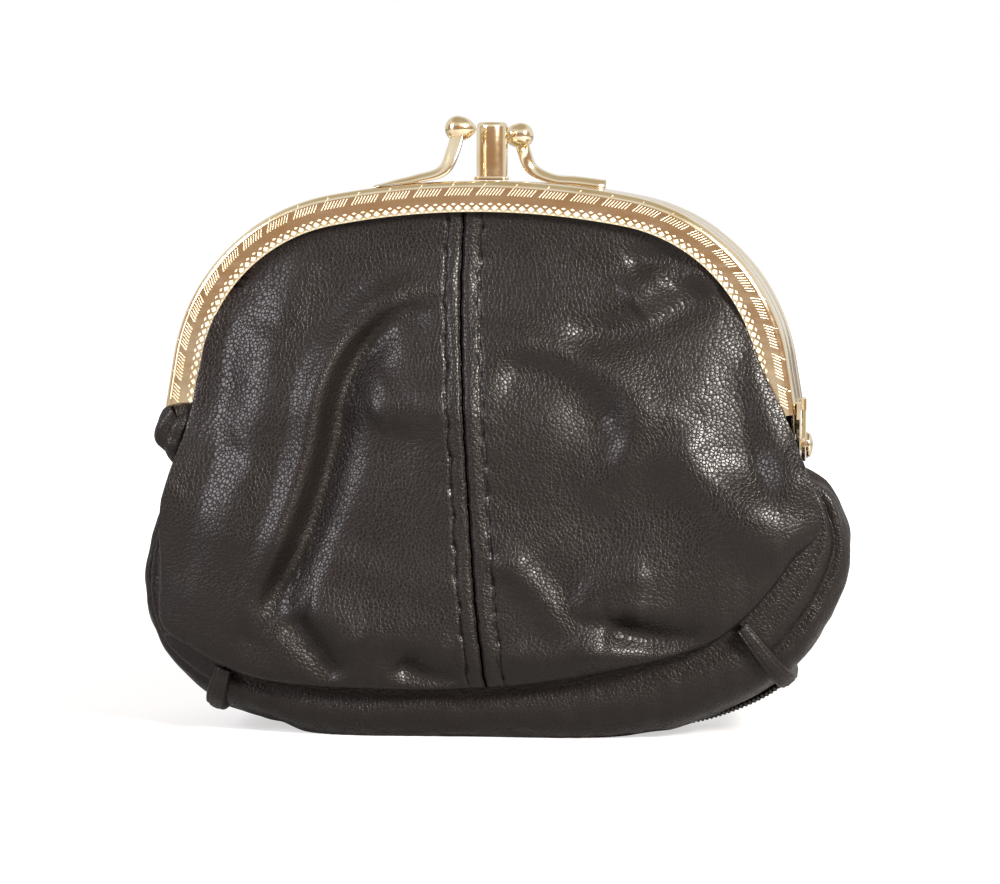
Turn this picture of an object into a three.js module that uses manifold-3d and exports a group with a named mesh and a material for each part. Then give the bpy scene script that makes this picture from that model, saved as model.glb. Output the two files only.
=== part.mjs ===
// A soft leather purse with two compartments under a triple metal snap frame, a ball clasp on top
// and a zip along the bottom. Millimetres, +Z up, the front faces -Y and the base rests at z = 0.

import * as THREE from "three";
import { mergeVertices } from "three/addons/utils/BufferGeometryUtils.js";
import Module from "manifold-3d";

const wasm = await Module();
wasm.setup();

// Leather
const LEATHER = 1.2;
const PIECE_GAP = 0.3;
const BELLY = 5.0;
const BELLY_SIDE_ROLL = 16;
const BELLY_FOOT_ROLL = 12;
const BELLY_MOUTH_START = 4;
const BELLY_MOUTH_END = 34;
const DEPTH_MOUTH_START = 2;
const DEPTH_MOUTH_END = 32;
const BACK_BELLY = 1.08;
const PUFF = 1.3;
const PUFF_REACH = 6;
const FOLD_EDGE = 5;
const WALL_SQUARENESS = 3.2;
const PLEAT_WIDTH = 0.36;
const GUSSET_DROP = 0.9;

// Metal frames: crown arc, shoulder arcs and straight legs, bent from an open channel
const FRAME_X = -2.05;
const FRAME_SKEW = 0.08;
const FRAME_TOP = 84.3;
const CROWN_RADIUS = 121;
const CROWN_ANGLE = THREE.MathUtils.degToRad(11);
const SHOULDER_RADIUS = 30;
const LEG_ANGLE = THREE.MathUtils.degToRad(80.5);
const LEG_LENGTH = 8.3;
const CHANNEL_FACE = 4.7;
const CHANNEL_DEPTH = 4.4;
const CHANNEL_WALL = 0.7;
const CHANNEL_ROUND = 0.9;
const FRAME_PITCH = 5;
const TUCK = 1.9;
const TUCK_AT_END = 4.3;
const TUCK_CHANGE = 14;
const LEATHER_IN_CHANNEL = 5.9;
const LIP_CLEARANCE = 2.6;

// Hinges
const PIVOT_Z = 44.2;
const HINGE_TAB = 0.7;
const HINGE_EYE = 2.5;
const HINGE_HOLE = 1.15;
const HINGE_X = { middle: 46.65, front: 47.65, back: 48.65 };
const HINGE_TOP = 51;
const HINGE_LEAN = 0.6;
const HINGE_SHOULDER = 0.8;
const RIVET_SHAFT = 0.85;
const RIVET_HEAD = 1.9;
const RIVET_HEAD_RISE = 1.0;
const RIVET_TAIL = 1.45;
const RIVET_TAIL_RISE = 0.6;

// Clasp
const BALL = 1.95;
const BALL_NOSE = 2.3;
const BALL_NOSE_TIP = 0.62;
const BALL_NOSE_TAPER = 0.35;
const BALL_ROUND_SHARE = 0.6;
const LEVER_WIDTH = 3.2;
const LEVER_NECK = 0.62;
const LEVER_NECK_START = 0.5;
const LEVER_NECK_END = 0.9;
const LEVER_FLAT = 0.55;
const LEVER_THICK = 1.1;
const LEVER_LIFT = 0.75;
const POST_X = -1.1;
const POST_RADIUS = 2.4;
const POST_WALL = 0.8;
const POST_TOP = 93.2;
const POST_FLANGE = 0.8;
const POST_SETBACK = 0.8;
const POST_FOOT_WIDTH = 6.2;
const POST_FOOT_DEPTH = 3.8;

// Zip
const ZIP_OPENING = 3.4;
const TAPE_EDGE = 7.6;
const TAPE_THICK = 0.7;
const TAPE_SETBACK = 1.4;
const CHAIN_HALF = 2.1;
const CHAIN_SETBACK = 0.2;
const CHAIN_THICK = 1.0;
const CHAIN_PUSH = 0.8;
const CHAIN_PUSH_START = 24;
const CHAIN_PUSH_END = 38;
const CHAIN_SINK = 0.9;
const CHAIN_SINK_START = -26;
const CHAIN_SINK_END = -34;
const SLIDER_START = 2.5;
const SLIDER_LENGTH = 6;
const SLIDER_HALF = 3.0;
const SLIDER_THICK = 1.1;
const TAB_WIDTH = 3.2;
const TAB_THICK = 1.2;
const TAB_MARGIN = 0.07;

// The spring levers: ball, neck and bend of each, and how far its foot runs along the frame
const CLASP = {
  front: {
    lateral: -1, y: -FRAME_PITCH, foot: [16.0, 13, 9.6],
    bend: [-7.8, -5.0, 86.2], neck: [-6.6, -4.4, 89.0], ball: [-5.9, -3.2, 92.2],
  },
  back: {
    lateral: 1, y: FRAME_PITCH, foot: [17.6, 13, 9.6],
    bend: [4.6, 5.0, 86.4], neck: [3.6, 4.4, 88.9], ball: [3.1, 3.2, 91.2],
  },
};

// The wall between the compartments
const DIVIDER = { thick: 1.0, foot: 5.0, clear: 1.2, legClear: 5 };

// How finely each surface is divided
const CELLS = {
  panelAcross: 14, panelUp: 20, backAcross: 10, backUp: 15, edge: 20, leg: 12,
  gussetAlong: 12, gussetAround: 11, bandAlong: 21, bandAcross: 6, tabAlong: 2, tabAround: 13,
  zipAlong: 22, zipAcross: 2, sliderAlong: 4, shoulder: 8, crown: 6, lever: 12, ball: 14, rivet: 12, dome: 3,
  round: 8, fold: 8, dividerMouth: 22, dividerSide: 7, dividerFoot: 8,
};
const SIDE_CROWDING = 1.6;
const FOOT_CROWDING = 1.4;

// Sections of the side and bottom wall, from the left hinge round the base to the right hinge:
// outermost point, front seam, half the depth between the seams, and how far the pleat tucks in
const WALL = [
  { at: "left hinge", outX: -47.7, outZ: 46.0, seamX: -46.9, seamZ: 46.8, half: 5.5, pleat: 3.0 },
  { at: "left neck", outX: -48.2, outZ: 41.0, seamX: -47, seamZ: 42.6, half: 7.8, pleat: 3.4 },
  { at: "left shoulder", outX: -52, outZ: 33.6, seamX: -48.6, seamZ: 36.0, half: 9.6, pleat: 3.6 },
  { at: "left wide", outX: -54.3, outZ: 25.2, seamX: -50.3, seamZ: 25.8, half: 10.6, pleat: 2.6 },
  { at: "left low", outX: -52.8, outZ: 15.2, seamX: -49.6, seamZ: 18.0, half: 11.4, pleat: 1.2 },
  { at: "left corner", outX: -49, outZ: 9.3, seamX: -46.9, seamZ: 14.6, half: 12.0, pleat: 0.4 },
  { at: "left tab", outX: -42.7, outZ: 4.3, seamX: -40.6, seamZ: 10.8, half: 12.3, pleat: 0 },
  { at: "left foot", outX: -36, outZ: 2.0, seamX: -34.6, seamZ: 8.9, half: 12.6, pleat: 0 },
  { at: "left rest", outX: -28.6, outZ: -0.8, seamX: -27.6, seamZ: 8.2, half: 13.0, pleat: 0 },
  { at: "base", outX: -4.6, outZ: -1.4, seamX: -2.6, seamZ: 8.3, half: 13.2, pleat: 0 },
  { at: "right rest", outX: 18.4, outZ: -0.8, seamX: 17.9, seamZ: 11.0, half: 13.0, pleat: 0 },
  { at: "right foot", outX: 30.4, outZ: 2.2, seamX: 28.9, seamZ: 13.9, half: 12.8, pleat: 0 },
  { at: "right tab", outX: 44.4, outZ: 9.2, seamX: 37.4, seamZ: 18.4, half: 12.2, pleat: 0 },
  { at: "right low", outX: 50.6, outZ: 16.6, seamX: 42.8, seamZ: 24.2, half: 11.4, pleat: 1.0 },
  { at: "right wide", outX: 54.5, outZ: 29.4, seamX: 47.6, seamZ: 33.4, half: 10.2, pleat: 2.6 },
  { at: "right shoulder", outX: 51.2, outZ: 37.4, seamX: 46.3, seamZ: 38.8, half: 9.4, pleat: 3.4 },
  { at: "right neck", outX: 45.4, outZ: 41.0, seamX: 43.8, seamZ: 43.2, half: 7.8, pleat: 2.6 },
  { at: "right hinge", outX: 44.2, outZ: 45.6, seamX: 43, seamZ: 46.8, half: 5.5, pleat: 2.6 },
];

// The crumpled knob of leather that pokes out in front of the left hinge
const KNOB = { along: 2.4, alongSpread: 3.0, across: 0.13, acrossSpread: 0.07, out: 8.0, forward: 4.2 };

// The centre seam of the front, from the base to the mouth
const CENTRE_SEAM = [
  { x: -0.2, z: 8.2 },
  { x: -1.8, z: 21.8 },
  { x: -3, z: 36.8 },
  { x: -3.6, z: 51.8 },
  { x: -4, z: 66.7 },
  { x: -3.9, z: 82.3 },
];

// Main folds of the front, each along a bowed line through a start, a pull and an end point:
// how far it rises (a dent is negative) and how wide it spreads to each side
const FRONT_FOLDS = [
  { fold: "left crest", x0: -7.8, z0: 69.3, x1: -21.3, z1: 64, x2: -24.4, z2: 50.2, rise: 1.2, wide: 3.6 },
  { fold: "left valley", x0: -5.9, z0: 66.3, x1: -21.3, z1: 60, x2: -24, z2: 45.7, rise: -1.9, wide: 3.2 },
  { fold: "left drop", x0: -24, z0: 45.7, x1: -24.5, z1: 30.7, x2: -33.6, z2: 19.2, rise: -2, wide: 3.2 },
  { fold: "left lobe", x0: -29, z0: 42.7, x1: -30, z1: 30.6, x2: -37.5, z2: 21.4, rise: 1.2, wide: 4.6 },
  { fold: "low left", x0: -29.5, z0: 18.9, x1: -26.8, z1: 14, x2: -22.3, z2: 8.3, rise: -1.6, wide: 2.8 },
  { fold: "foot left", x0: -13.2, z0: 12.3, x1: -10.5, z1: 8.9, x2: -4.1, z2: 8.3, rise: -1.5, wide: 2.8 },
  { fold: "middle left", x0: -18.7, z0: 48.4, x1: -13, z1: 52.5, x2: -5.2, z2: 50.4, rise: 0.8, wide: 4.2 },
  { fold: "right arc", x0: -1.1, z0: 60.4, x1: 17.5, z1: 60.2, x2: 21.5, z2: 49.8, rise: 1.1, wide: 3.0 },
  { fold: "right hook", x0: 21.5, z0: 49.8, x1: 22, z1: 42.4, x2: 16.5, z2: 38.6, rise: 1.1, wide: 3.0 },
  { fold: "arc dent", x0: 0.4, z0: 56, x1: 14.6, z1: 55, x2: 17.9, z2: 46.1, rise: -1, wide: 3.6 },
  { fold: "corner dent", x0: 9.4, z0: 60.1, x1: 21.2, z1: 60.6, x2: 34.1, z2: 68, rise: -1.2, wide: 3.0 },
  { fold: "right crest", x0: 36.3, z0: 63.2, x1: 28.7, z1: 46.2, x2: 36.1, z2: 38.1, rise: 1.5, wide: 4.4 },
  { fold: "right rib", x0: 36.1, z0: 38.1, x1: 39.8, z1: 34.4, x2: 46.5, z2: 29.7, rise: 1.1, wide: 3.2 },
  { fold: "right valley", x0: 37.8, z0: 57.4, x1: 40.1, z1: 46.3, x2: 46, z2: 36, rise: -1.1, wide: 3.0 },
  { fold: "low right", x0: -0.2, z0: 29.1, x1: 7.9, z1: 26.2, x2: 11.7, z2: 18.4, rise: 1.1, wide: 3.0 },
  { fold: "low curl", x0: 14.3, z0: 18.4, x1: 12.4, z1: 24.4, x2: 25.1, z2: 26.2, rise: 0.9, wide: 3.0 },
  { fold: "foot right", x0: 17.3, z0: 18.4, x1: 24.4, z1: 16.3, x2: 32.6, z2: 14.3, rise: -1.8, wide: 2.8 },
];
const BACK_FOLDS = [
  { fold: "back left", x0: -8.6, z0: 70, x1: -22.6, z1: 58, x2: -27.6, z2: 34, rise: -1.1, wide: 4.2 },
  { fold: "back right", x0: 5.4, z0: 69, x1: 23.4, z1: 60, x2: 32.4, z2: 36, rise: -1.1, wide: 4.2 },
  { fold: "back foot left", x0: -34.6, z0: 20, x1: -22.6, z1: 17, x2: -12.6, z2: 20, rise: 0.9, wide: 4.0 },
  { fold: "back foot right", x0: 7.4, z0: 22, x1: 19.4, z1: 18, x2: 32.4, z2: 24, rise: 0.9, wide: 4.0 },
];

// Small helpers
const mix = (a, b, t) => a + (b - a) * t;
const ramp = (from, to, value) => THREE.MathUtils.smoothstep(value, from, to);
const steps = (from, to, count) => Array.from({ length: count + 1 }, (_, i) => mix(from, to, i / count));
const roundRise = (distance, reach) => {
  const short = 1 - THREE.MathUtils.clamp(distance / reach, 0, 1);
  return Math.sqrt(1 - short * short);
};

// A smooth track through the rows of a table, measured in millimetres along two of its columns
function trackThrough(rows, columns, [first, second]) {
  const knots = [0];
  for (let i = 1; i < rows.length; i += 1) {
    const step = Math.hypot(rows[i][first] - rows[i - 1][first], rows[i][second] - rows[i - 1][second]);
    knots.push(knots[i - 1] + step);
  }
  const rise = (i, column) => (rows[i + 1][column] - rows[i][column]) / (knots[i + 1] - knots[i]);
  const slope = (i, column) => {
    if (i === 0) return rise(0, column);
    if (i === rows.length - 1) return rise(i - 1, column);
    const before = knots[i] - knots[i - 1];
    const after = knots[i + 1] - knots[i];
    return (rise(i - 1, column) * after + rise(i, column) * before) / (before + after);
  };
  const valueAt = (distance) => {
    let i = 0;
    while (i < rows.length - 2 && distance > knots[i + 1]) i += 1;
    const span = knots[i + 1] - knots[i];
    const t = (distance - knots[i]) / span;
    const value = {};
    for (const column of columns) {
      value[column] = (1 + 2 * t) * (1 - t) ** 2 * rows[i][column]
        + t * (1 - t) ** 2 * span * slope(i, column)
        + t * t * (3 - 2 * t) * rows[i + 1][column]
        + t * t * (t - 1) * span * slope(i + 1, column);
    }
    return value;
  };
  return { valueAt, knots, length: knots[knots.length - 1] };
}

function bareGeometry(coordinates, corners) {
  const geometry = new THREE.BufferGeometry();
  geometry.setAttribute("position", new THREE.Float32BufferAttribute(coordinates, 3));
  geometry.setIndex(corners);
  return geometry;
}

// A closed body from points and triangles, turned so that its faces look outward
function closedBody(points, triangles) {
  let volume = 0;
  for (const [a, b, c] of triangles) {
    volume += points[a].dot(new THREE.Vector3().crossVectors(points[b], points[c]));
  }
  const faces = volume < 0 ? triangles.map(([a, b, c]) => [a, c, b]) : triangles;
  return bareGeometry(points.flatMap((point) => point.toArray()), faces.flat());
}

// A bar through a row of rings, each a copy of one outline, with flat ends
function barBody(outline, ringAt, stations) {
  const loop = THREE.ShapeUtils.isClockWise(outline) ? [...outline].reverse() : outline;
  const size = loop.length;
  const points = stations.flatMap((station) => loop.map((corner) => ringAt(station, corner)));
  const triangles = [];
  for (let i = 0; i < stations.length - 1; i += 1) {
    for (let j = 0; j < size; j += 1) {
      const a = i * size + j;
      const b = i * size + (j + 1) % size;
      triangles.push([a, b, b + size], [a, b + size, a + size]);
    }
  }
  const last = (stations.length - 1) * size;
  for (const [a, b, c] of THREE.ShapeUtils.triangulateShape(loop, [])) {
    triangles.push([a, c, b], [last + a, last + b, last + c]);
  }
  return closedBody(points, triangles);
}

// A sheet of leather or tape: two layers over one grid of points, set off along the grid's normals
function sheetBody(grid, side, outer, inner) {
  const rows = grid.length;
  const columns = grid[0].length;
  const normalAt = (i, j) => {
    const along = grid[Math.min(i + 1, rows - 1)][j].clone().sub(grid[Math.max(i - 1, 0)][j]);
    const across = grid[i][Math.min(j + 1, columns - 1)].clone().sub(grid[i][Math.max(j - 1, 0)]);
    return along.cross(across).normalize().multiplyScalar(side);
  };
  const layer = (offset) => grid.flatMap((row, i) => row.map((point, j) => {
    const distance = typeof offset === "function" ? offset(point) : offset;
    return point.clone().addScaledVector(normalAt(i, j), distance);
  }));
  const points = [...layer(outer), ...layer(inner)];
  const back = rows * columns;
  const triangles = [];
  const quad = (a, b, c, d) => triangles.push([a, b, c], [a, c, d]);
  for (let i = 0; i < rows - 1; i += 1) {
    for (let j = 0; j < columns - 1; j += 1) {
      const a = i * columns + j;
      quad(a, a + columns, a + columns + 1, a + 1);
      quad(back + a, back + a + 1, back + a + columns + 1, back + a + columns);
    }
  }
  for (let i = 0; i < rows - 1; i += 1) {
    const a = i * columns;
    const b = a + columns - 1;
    quad(a, back + a, back + a + columns, a + columns);
    quad(b, b + columns, back + b + columns, back + b);
  }
  for (let j = 0; j < columns - 1; j += 1) {
    const b = (rows - 1) * columns + j;
    quad(j, j + 1, back + j + 1, back + j);
    quad(b, back + b, back + b + 1, b + 1);
  }
  return closedBody(points, triangles);
}

// Soldered pieces become one body
function joined(geometries) {
  const solids = geometries.map((geometry) => {
    const bare = geometry.clone();
    bare.deleteAttribute("normal");
    bare.deleteAttribute("uv");
    const merged = mergeVertices(bare, 1e-4);
    const corners = merged.index.array;
    const kept = [];
    for (let i = 0; i < corners.length; i += 3) {
      const [a, b, c] = [corners[i], corners[i + 1], corners[i + 2]];
      if (a !== b && b !== c && c !== a) kept.push(a, b, c);
    }
    return new wasm.Manifold(new wasm.Mesh({
      numProp: 3,
      vertProperties: Float32Array.from(merged.attributes.position.array),
      triVerts: Uint32Array.from(kept),
    }));
  });
  const mesh = solids.reduce((sum, solid) => sum.add(solid)).getMesh();
  return bareGeometry(Array.from(mesh.vertProperties), Array.from(mesh.triVerts));
}

// The side and bottom wall
const wall = trackThrough(WALL, ["outX", "outZ", "seamX", "seamZ", "half", "pleat"], ["outX", "outZ"]);
const TANGENT_STEP = 0.5;
const wallDistance = (name) => wall.knots[WALL.findIndex((row) => row.at === name)];

function wallInward(distance) {
  const [before, after] = [wall.valueAt(distance - TANGENT_STEP), wall.valueAt(distance + TANGENT_STEP)];
  return new THREE.Vector2(before.outZ - after.outZ, after.outX - before.outX).normalize();
}

function wallPoint(distance, turn) {
  const row = wall.valueAt(distance);
  const cosine = Math.cos(Math.PI * turn);
  const depth = -Math.sign(cosine) * Math.abs(cosine) ** (2 / WALL_SQUARENESS);
  const reach = Math.sin(Math.PI * turn) ** (2 / WALL_SQUARENESS);
  const inward = wallInward(distance);
  const tuck = row.pleat * Math.exp(-((depth / PLEAT_WIDTH) ** 2));
  const lump = Math.exp(-(((distance - KNOB.along) / KNOB.alongSpread) ** 2)
    - ((turn - KNOB.across) / KNOB.acrossSpread) ** 2);
  return new THREE.Vector3(
    mix(row.seamX, row.outX, reach) + inward.x * tuck - KNOB.out * lump,
    row.half * depth - KNOB.forward * lump,
    Math.max(0, mix(row.seamZ, row.outZ, reach) + inward.y * tuck),
  );
}

function wallTurn(distance, y) {
  const share = Math.abs(y) / wall.valueAt(distance).half;
  return Math.acos(-Math.sign(y) * share ** (WALL_SQUARENESS / 2)) / Math.PI;
}

const wallGrid = (distances, turnsAt) => distances.map((d) => turnsAt(d).map((turn) => wallPoint(d, turn)));
const WALL_SIDE = -1;
const tabLeft = wallDistance("left tab");
const tabRight = wallDistance("right tab");

function gusset(from, to) {
  const grid = wallGrid(steps(from, to, CELLS.gussetAlong), () => steps(0, 1, CELLS.gussetAround));
  return sheetBody(grid, WALL_SIDE, 0, -LEATHER);
}

function bottomBand(facing) {
  const edge = facing > 0 ? 0 : 1;
  const run = steps(tabLeft + PIECE_GAP / 2, tabRight - PIECE_GAP / 2, CELLS.bandAlong);
  const turnsAt = (d) => steps(edge, wallTurn(d, -facing * ZIP_OPENING), CELLS.bandAcross);
  return sheetBody(wallGrid(run, turnsAt), WALL_SIDE * facing, 0, -LEATHER);
}

function tab(distance) {
  const grid = wallGrid(steps(distance - TAB_WIDTH / 2, distance + TAB_WIDTH / 2, CELLS.tabAlong),
    () => steps(TAB_MARGIN, 1 - TAB_MARGIN, CELLS.tabAround));
  return sheetBody(grid, WALL_SIDE, TAB_THICK + PIECE_GAP, PIECE_GAP);
}

// The zip, laid along the wall between the two tabs
const zipEnd = TAB_WIDTH / 2 + PIECE_GAP;
const zipRun = steps(tabLeft + zipEnd, tabRight - zipEnd, CELLS.zipAlong);
const acrossZip = (from, to) => (d) => steps(wallTurn(d, from), wallTurn(d, to), CELLS.zipAcross);
const zipSink = (point) => -CHAIN_SINK * ramp(-CHAIN_SINK_START, -CHAIN_SINK_END, -point.x);
const chainPush = (point) => CHAIN_PUSH * ramp(CHAIN_PUSH_START, CHAIN_PUSH_END, point.x);

function zipTape(facing) {
  const grid = wallGrid(zipRun, acrossZip(-facing * TAPE_EDGE, -facing * PIECE_GAP));
  return sheetBody(grid, WALL_SIDE * facing, (p) => zipSink(p) - TAPE_SETBACK,
    (p) => zipSink(p) - TAPE_SETBACK - TAPE_THICK);
}

function zipChain() {
  const grid = wallGrid(zipRun, acrossZip(-CHAIN_HALF, CHAIN_HALF));
  return sheetBody(grid, WALL_SIDE, (p) => zipSink(p) + chainPush(p) - CHAIN_SETBACK,
    (p) => zipSink(p) - CHAIN_SETBACK - CHAIN_THICK);
}

function zipSlider() {
  const run = steps(tabLeft + SLIDER_START, tabLeft + SLIDER_START + SLIDER_LENGTH, CELLS.sliderAlong);
  const grid = wallGrid(run, acrossZip(-SLIDER_HALF, SLIDER_HALF));
  return sheetBody(grid, WALL_SIDE, SLIDER_THICK - CHAIN_SINK, -CHAIN_SINK);
}

// The arch of the frames, measured from the top of the crown, left negative
const CROWN_RUN = CROWN_RADIUS * CROWN_ANGLE;
const SHOULDER_RUN = SHOULDER_RADIUS * (LEG_ANGLE - CROWN_ANGLE);
const ARCH_END = CROWN_RUN + SHOULDER_RUN + LEG_LENGTH;
const SHOULDER_MIDDLE = CROWN_RUN + SHOULDER_RUN / 2;

function archPoint(distance, inset, y) {
  const side = Math.sign(distance);
  const run = Math.abs(distance);
  const crown = Math.min(run, CROWN_RUN) / CROWN_RADIUS;
  const angle = crown + THREE.MathUtils.clamp(run - CROWN_RUN, 0, SHOULDER_RUN) / SHOULDER_RADIUS;
  const leg = Math.max(run - CROWN_RUN - SHOULDER_RUN, 0);
  const out = CROWN_RADIUS * Math.sin(crown) + SHOULDER_RADIUS * (Math.sin(angle) - Math.sin(crown))
    + leg * Math.cos(angle) - inset * Math.sin(angle);
  const drop = CROWN_RADIUS * (1 - Math.cos(crown)) + SHOULDER_RADIUS * (Math.cos(crown) - Math.cos(angle))
    + leg * Math.sin(angle) + inset * Math.cos(angle);
  return new THREE.Vector3(FRAME_X + side * out + FRAME_SKEW * y, y, FRAME_TOP - drop);
}

const archSide = [
  ...steps(CROWN_RUN, CROWN_RUN + SHOULDER_RUN, CELLS.shoulder),
  ARCH_END - LEG_LENGTH / 2,
  ARCH_END,
];
const archStations = [
  ...archSide.map((d) => -d).reverse(),
  ...steps(-CROWN_RUN, CROWN_RUN, CELLS.crown).slice(1, -1),
  ...archSide,
];

// How deep the leather edge sits from the outer edge of the frame, shallower towards the leg ends
function tuckAt(distance) {
  return mix(TUCK, TUCK_AT_END, ramp(ARCH_END - TUCK_CHANGE, ARCH_END, Math.abs(distance)));
}

// The outer corners are rounded where they show, on the front and the back frame
function channel(middleY) {
  const front = middleY - CHANNEL_DEPTH / 2;
  const back = middleY + CHANNEL_DEPTH / 2;
  const soft = CHANNEL_ROUND * (1 - Math.SQRT1_2);
  const corner = (y, into) => [[CHANNEL_ROUND, y], [soft, y + into * soft], [0, y + into * CHANNEL_ROUND]];
  const frontCorner = middleY < 0 ? corner(front, 1) : [[0, front]];
  const backCorner = middleY > 0 ? corner(back, -1).reverse() : [[0, back]];
  const outline = [
    [CHANNEL_FACE, front], ...frontCorner, ...backCorner, [CHANNEL_FACE, back],
    [CHANNEL_FACE, back - CHANNEL_WALL], [CHANNEL_WALL, back - CHANNEL_WALL],
    [CHANNEL_WALL, front + CHANNEL_WALL], [CHANNEL_FACE, front + CHANNEL_WALL],
  ].map(([inset, y]) => new THREE.Vector2(inset, y));
  return barBody(outline, (d, spot) => archPoint(d, spot.x, spot.y), archStations);
}

function extruded(shape, depth) {
  return new THREE.ExtrudeGeometry(shape, { depth, bevelEnabled: false, curveSegments: CELLS.round });
}

// A hinge tab: a flat strip in a plane across X that carries the frame's leg over to the pivot
function hingeTab(name, middleY, lateral) {
  const front = middleY - CHANNEL_DEPTH / 2;
  const back = middleY + CHANNEL_DEPTH / 2;
  const legEnd = archPoint(ARCH_END, 0, 0).z;
  const lean = Math.sign(middleY) * HINGE_LEAN;
  const shape = new THREE.Shape();
  shape.moveTo(back, HINGE_TOP);
  shape.lineTo(front, HINGE_TOP);
  shape.lineTo(front, legEnd - (middleY < 0 ? HINGE_SHOULDER : 0));
  shape.absarc(0, PIVOT_Z, HINGE_EYE, Math.PI - lean, 2 * Math.PI - lean, false);
  shape.lineTo(back, legEnd - (middleY > 0 ? HINGE_SHOULDER : 0));
  const hole = new THREE.Path();
  hole.absarc(0, PIVOT_Z, HINGE_HOLE, 0, 2 * Math.PI, true);
  shape.holes.push(hole);
  const strip = extruded(shape, HINGE_TAB);
  const turned = new THREE.Matrix4().makeBasis(
    new THREE.Vector3(0, 1, 0), new THREE.Vector3(0, 0, 1), new THREE.Vector3(1, 0, 0));
  strip.applyMatrix4(turned);
  const start = lateral > 0 ? HINGE_X[name] : -HINGE_X[name] - HINGE_TAB;
  strip.translate(FRAME_X + start, 0, 0);
  return strip;
}

// The back tab steps outward over the front tab, on a short block at the end of its leg
function hingeStep(middleY, lateral) {
  const outer = HINGE_X.back + HINGE_TAB;
  const inner = HINGE_X.front - HINGE_TAB / 2;
  const low = archPoint(ARCH_END, 0, 0).z + PIECE_GAP;
  const block = new THREE.BoxGeometry(outer - inner, CHANNEL_DEPTH, HINGE_TOP - low);
  block.translate(FRAME_X + lateral * (outer + inner) / 2, middleY, (HINGE_TOP + low) / 2);
  return block;
}

function frame(name, middleY) {
  const pieces = [channel(middleY), hingeTab(name, middleY, -1), hingeTab(name, middleY, 1)];
  if (name === "back") pieces.push(hingeStep(middleY, -1), hingeStep(middleY, 1));
  return joined(pieces);
}

function hingeRivet(lateral) {
  const inside = HINGE_X.middle - PIECE_GAP;
  const outside = HINGE_X.back + HINGE_TAB + PIECE_GAP;
  const dome = steps(0, Math.PI / 2, CELLS.dome)
    .map((angle) => [RIVET_HEAD * Math.cos(angle), outside + RIVET_HEAD_RISE * Math.sin(angle)]);
  const outline = [
    [0, inside - RIVET_TAIL_RISE], [RIVET_TAIL, inside - RIVET_TAIL_RISE], [RIVET_TAIL, inside],
    [RIVET_SHAFT, inside], [RIVET_SHAFT, outside], ...dome,
  ].map(([radius, along]) => new THREE.Vector2(radius, along));
  const rivet = new THREE.LatheGeometry(outline, CELLS.rivet);
  rivet.rotateZ(-lateral * Math.PI / 2);
  rivet.translate(FRAME_X, 0, PIVOT_Z);
  return joined([rivet]);
}

// The clasp: a spring lever with a pear-shaped ball on the front and the back frame, and a post between
function claspLever({ lateral, y, foot, bend, neck, ball }) {
  const base = foot.map((run) => archPoint(lateral * run, -LEVER_LIFT, y));
  const spots = [bend, neck, ball].map((spot) => new THREE.Vector3(...spot));
  const path = new THREE.CatmullRomCurve3([...base, ...spots], false, "centripetal");
  const half = LEVER_WIDTH / 2;
  const low = -LEVER_THICK / 2;
  const top = LEVER_THICK / 2;
  const flat = half * LEVER_FLAT;
  const outline = [[-half, low], [half, low], [half, 0], [flat, top], [-flat, top], [-half, 0]]
    .map(([across, rise]) => new THREE.Vector2(across, rise));
  const ringAt = (t, corner) => {
    const ahead = path.getTangentAt(t);
    const up = new THREE.Vector3(ahead.z * lateral, 0, -ahead.x * lateral).normalize();
    const narrow = mix(1, LEVER_NECK, ramp(LEVER_NECK_START, LEVER_NECK_END, t));
    return path.getPointAt(t).addScaledVector(up, corner.y).add(new THREE.Vector3(0, corner.x * narrow, 0));
  };
  const round = steps(0, BALL_ROUND_SHARE * Math.PI, CELLS.round)
    .map((angle) => [BALL * Math.sin(angle), -BALL * Math.cos(angle)]);
  const profile = [...round, [BALL_NOSE_TIP, BALL_NOSE - BALL_NOSE_TAPER], [0, BALL_NOSE]]
    .map(([radius, along]) => new THREE.Vector2(radius, along));
  const head = new THREE.LatheGeometry(profile, CELLS.ball);
  head.rotateZ(lateral * Math.PI / 2);
  head.translate(...ball);
  return joined([barBody(outline, ringAt, steps(0, 1, CELLS.lever)), head]);
}

function claspPost() {
  const foot = FRAME_TOP + PIECE_GAP / 3;
  const shape = new THREE.Shape();
  shape.absarc(0, 0, POST_RADIUS, Math.PI, 2 * Math.PI, false);
  shape.absarc(0, 0, POST_RADIUS - POST_WALL, 2 * Math.PI, Math.PI, true);
  const shaft = extruded(shape, POST_TOP - foot);
  shaft.translate(POST_X, POST_SETBACK, foot);
  const flange = new THREE.BoxGeometry(POST_FOOT_WIDTH, POST_FOOT_DEPTH, POST_FLANGE);
  flange.translate(POST_X, 0, foot + POST_FLANGE / 2);
  return joined([shaft, flange]);
}

// The soft panels: each half spans the centre seam, the mouth, the side and the foot
const centreSeam = trackThrough(CENTRE_SEAM, ["x", "z"], ["x", "z"]);
const LEFT_CORNER = "left low";
const RIGHT_CORNER = "right wide";

function seamPoint(distance) {
  const row = wall.valueAt(distance);
  const puff = ramp(0, PUFF_REACH, Math.min(distance, wall.length - distance));
  return { x: row.seamX, z: row.seamZ, depth: row.half + PIECE_GAP, hidden: 0, puff };
}

function mouthPoint(distance) {
  const point = archPoint(distance, tuckAt(distance), 0);
  const hidden = CHANNEL_FACE - tuckAt(distance) + LIP_CLEARANCE;
  return { x: point.x, z: point.z, depth: LEATHER_IN_CHANNEL, hidden, puff: 0 };
}

// Follows a row of edge points by their distance, as a share of the whole run
function alongEdge(points) {
  const keys = Object.keys(points[0]);
  const run = trackThrough(points, keys, ["x", "z"]);
  return (share) => run.valueAt(share * run.length);
}

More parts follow.
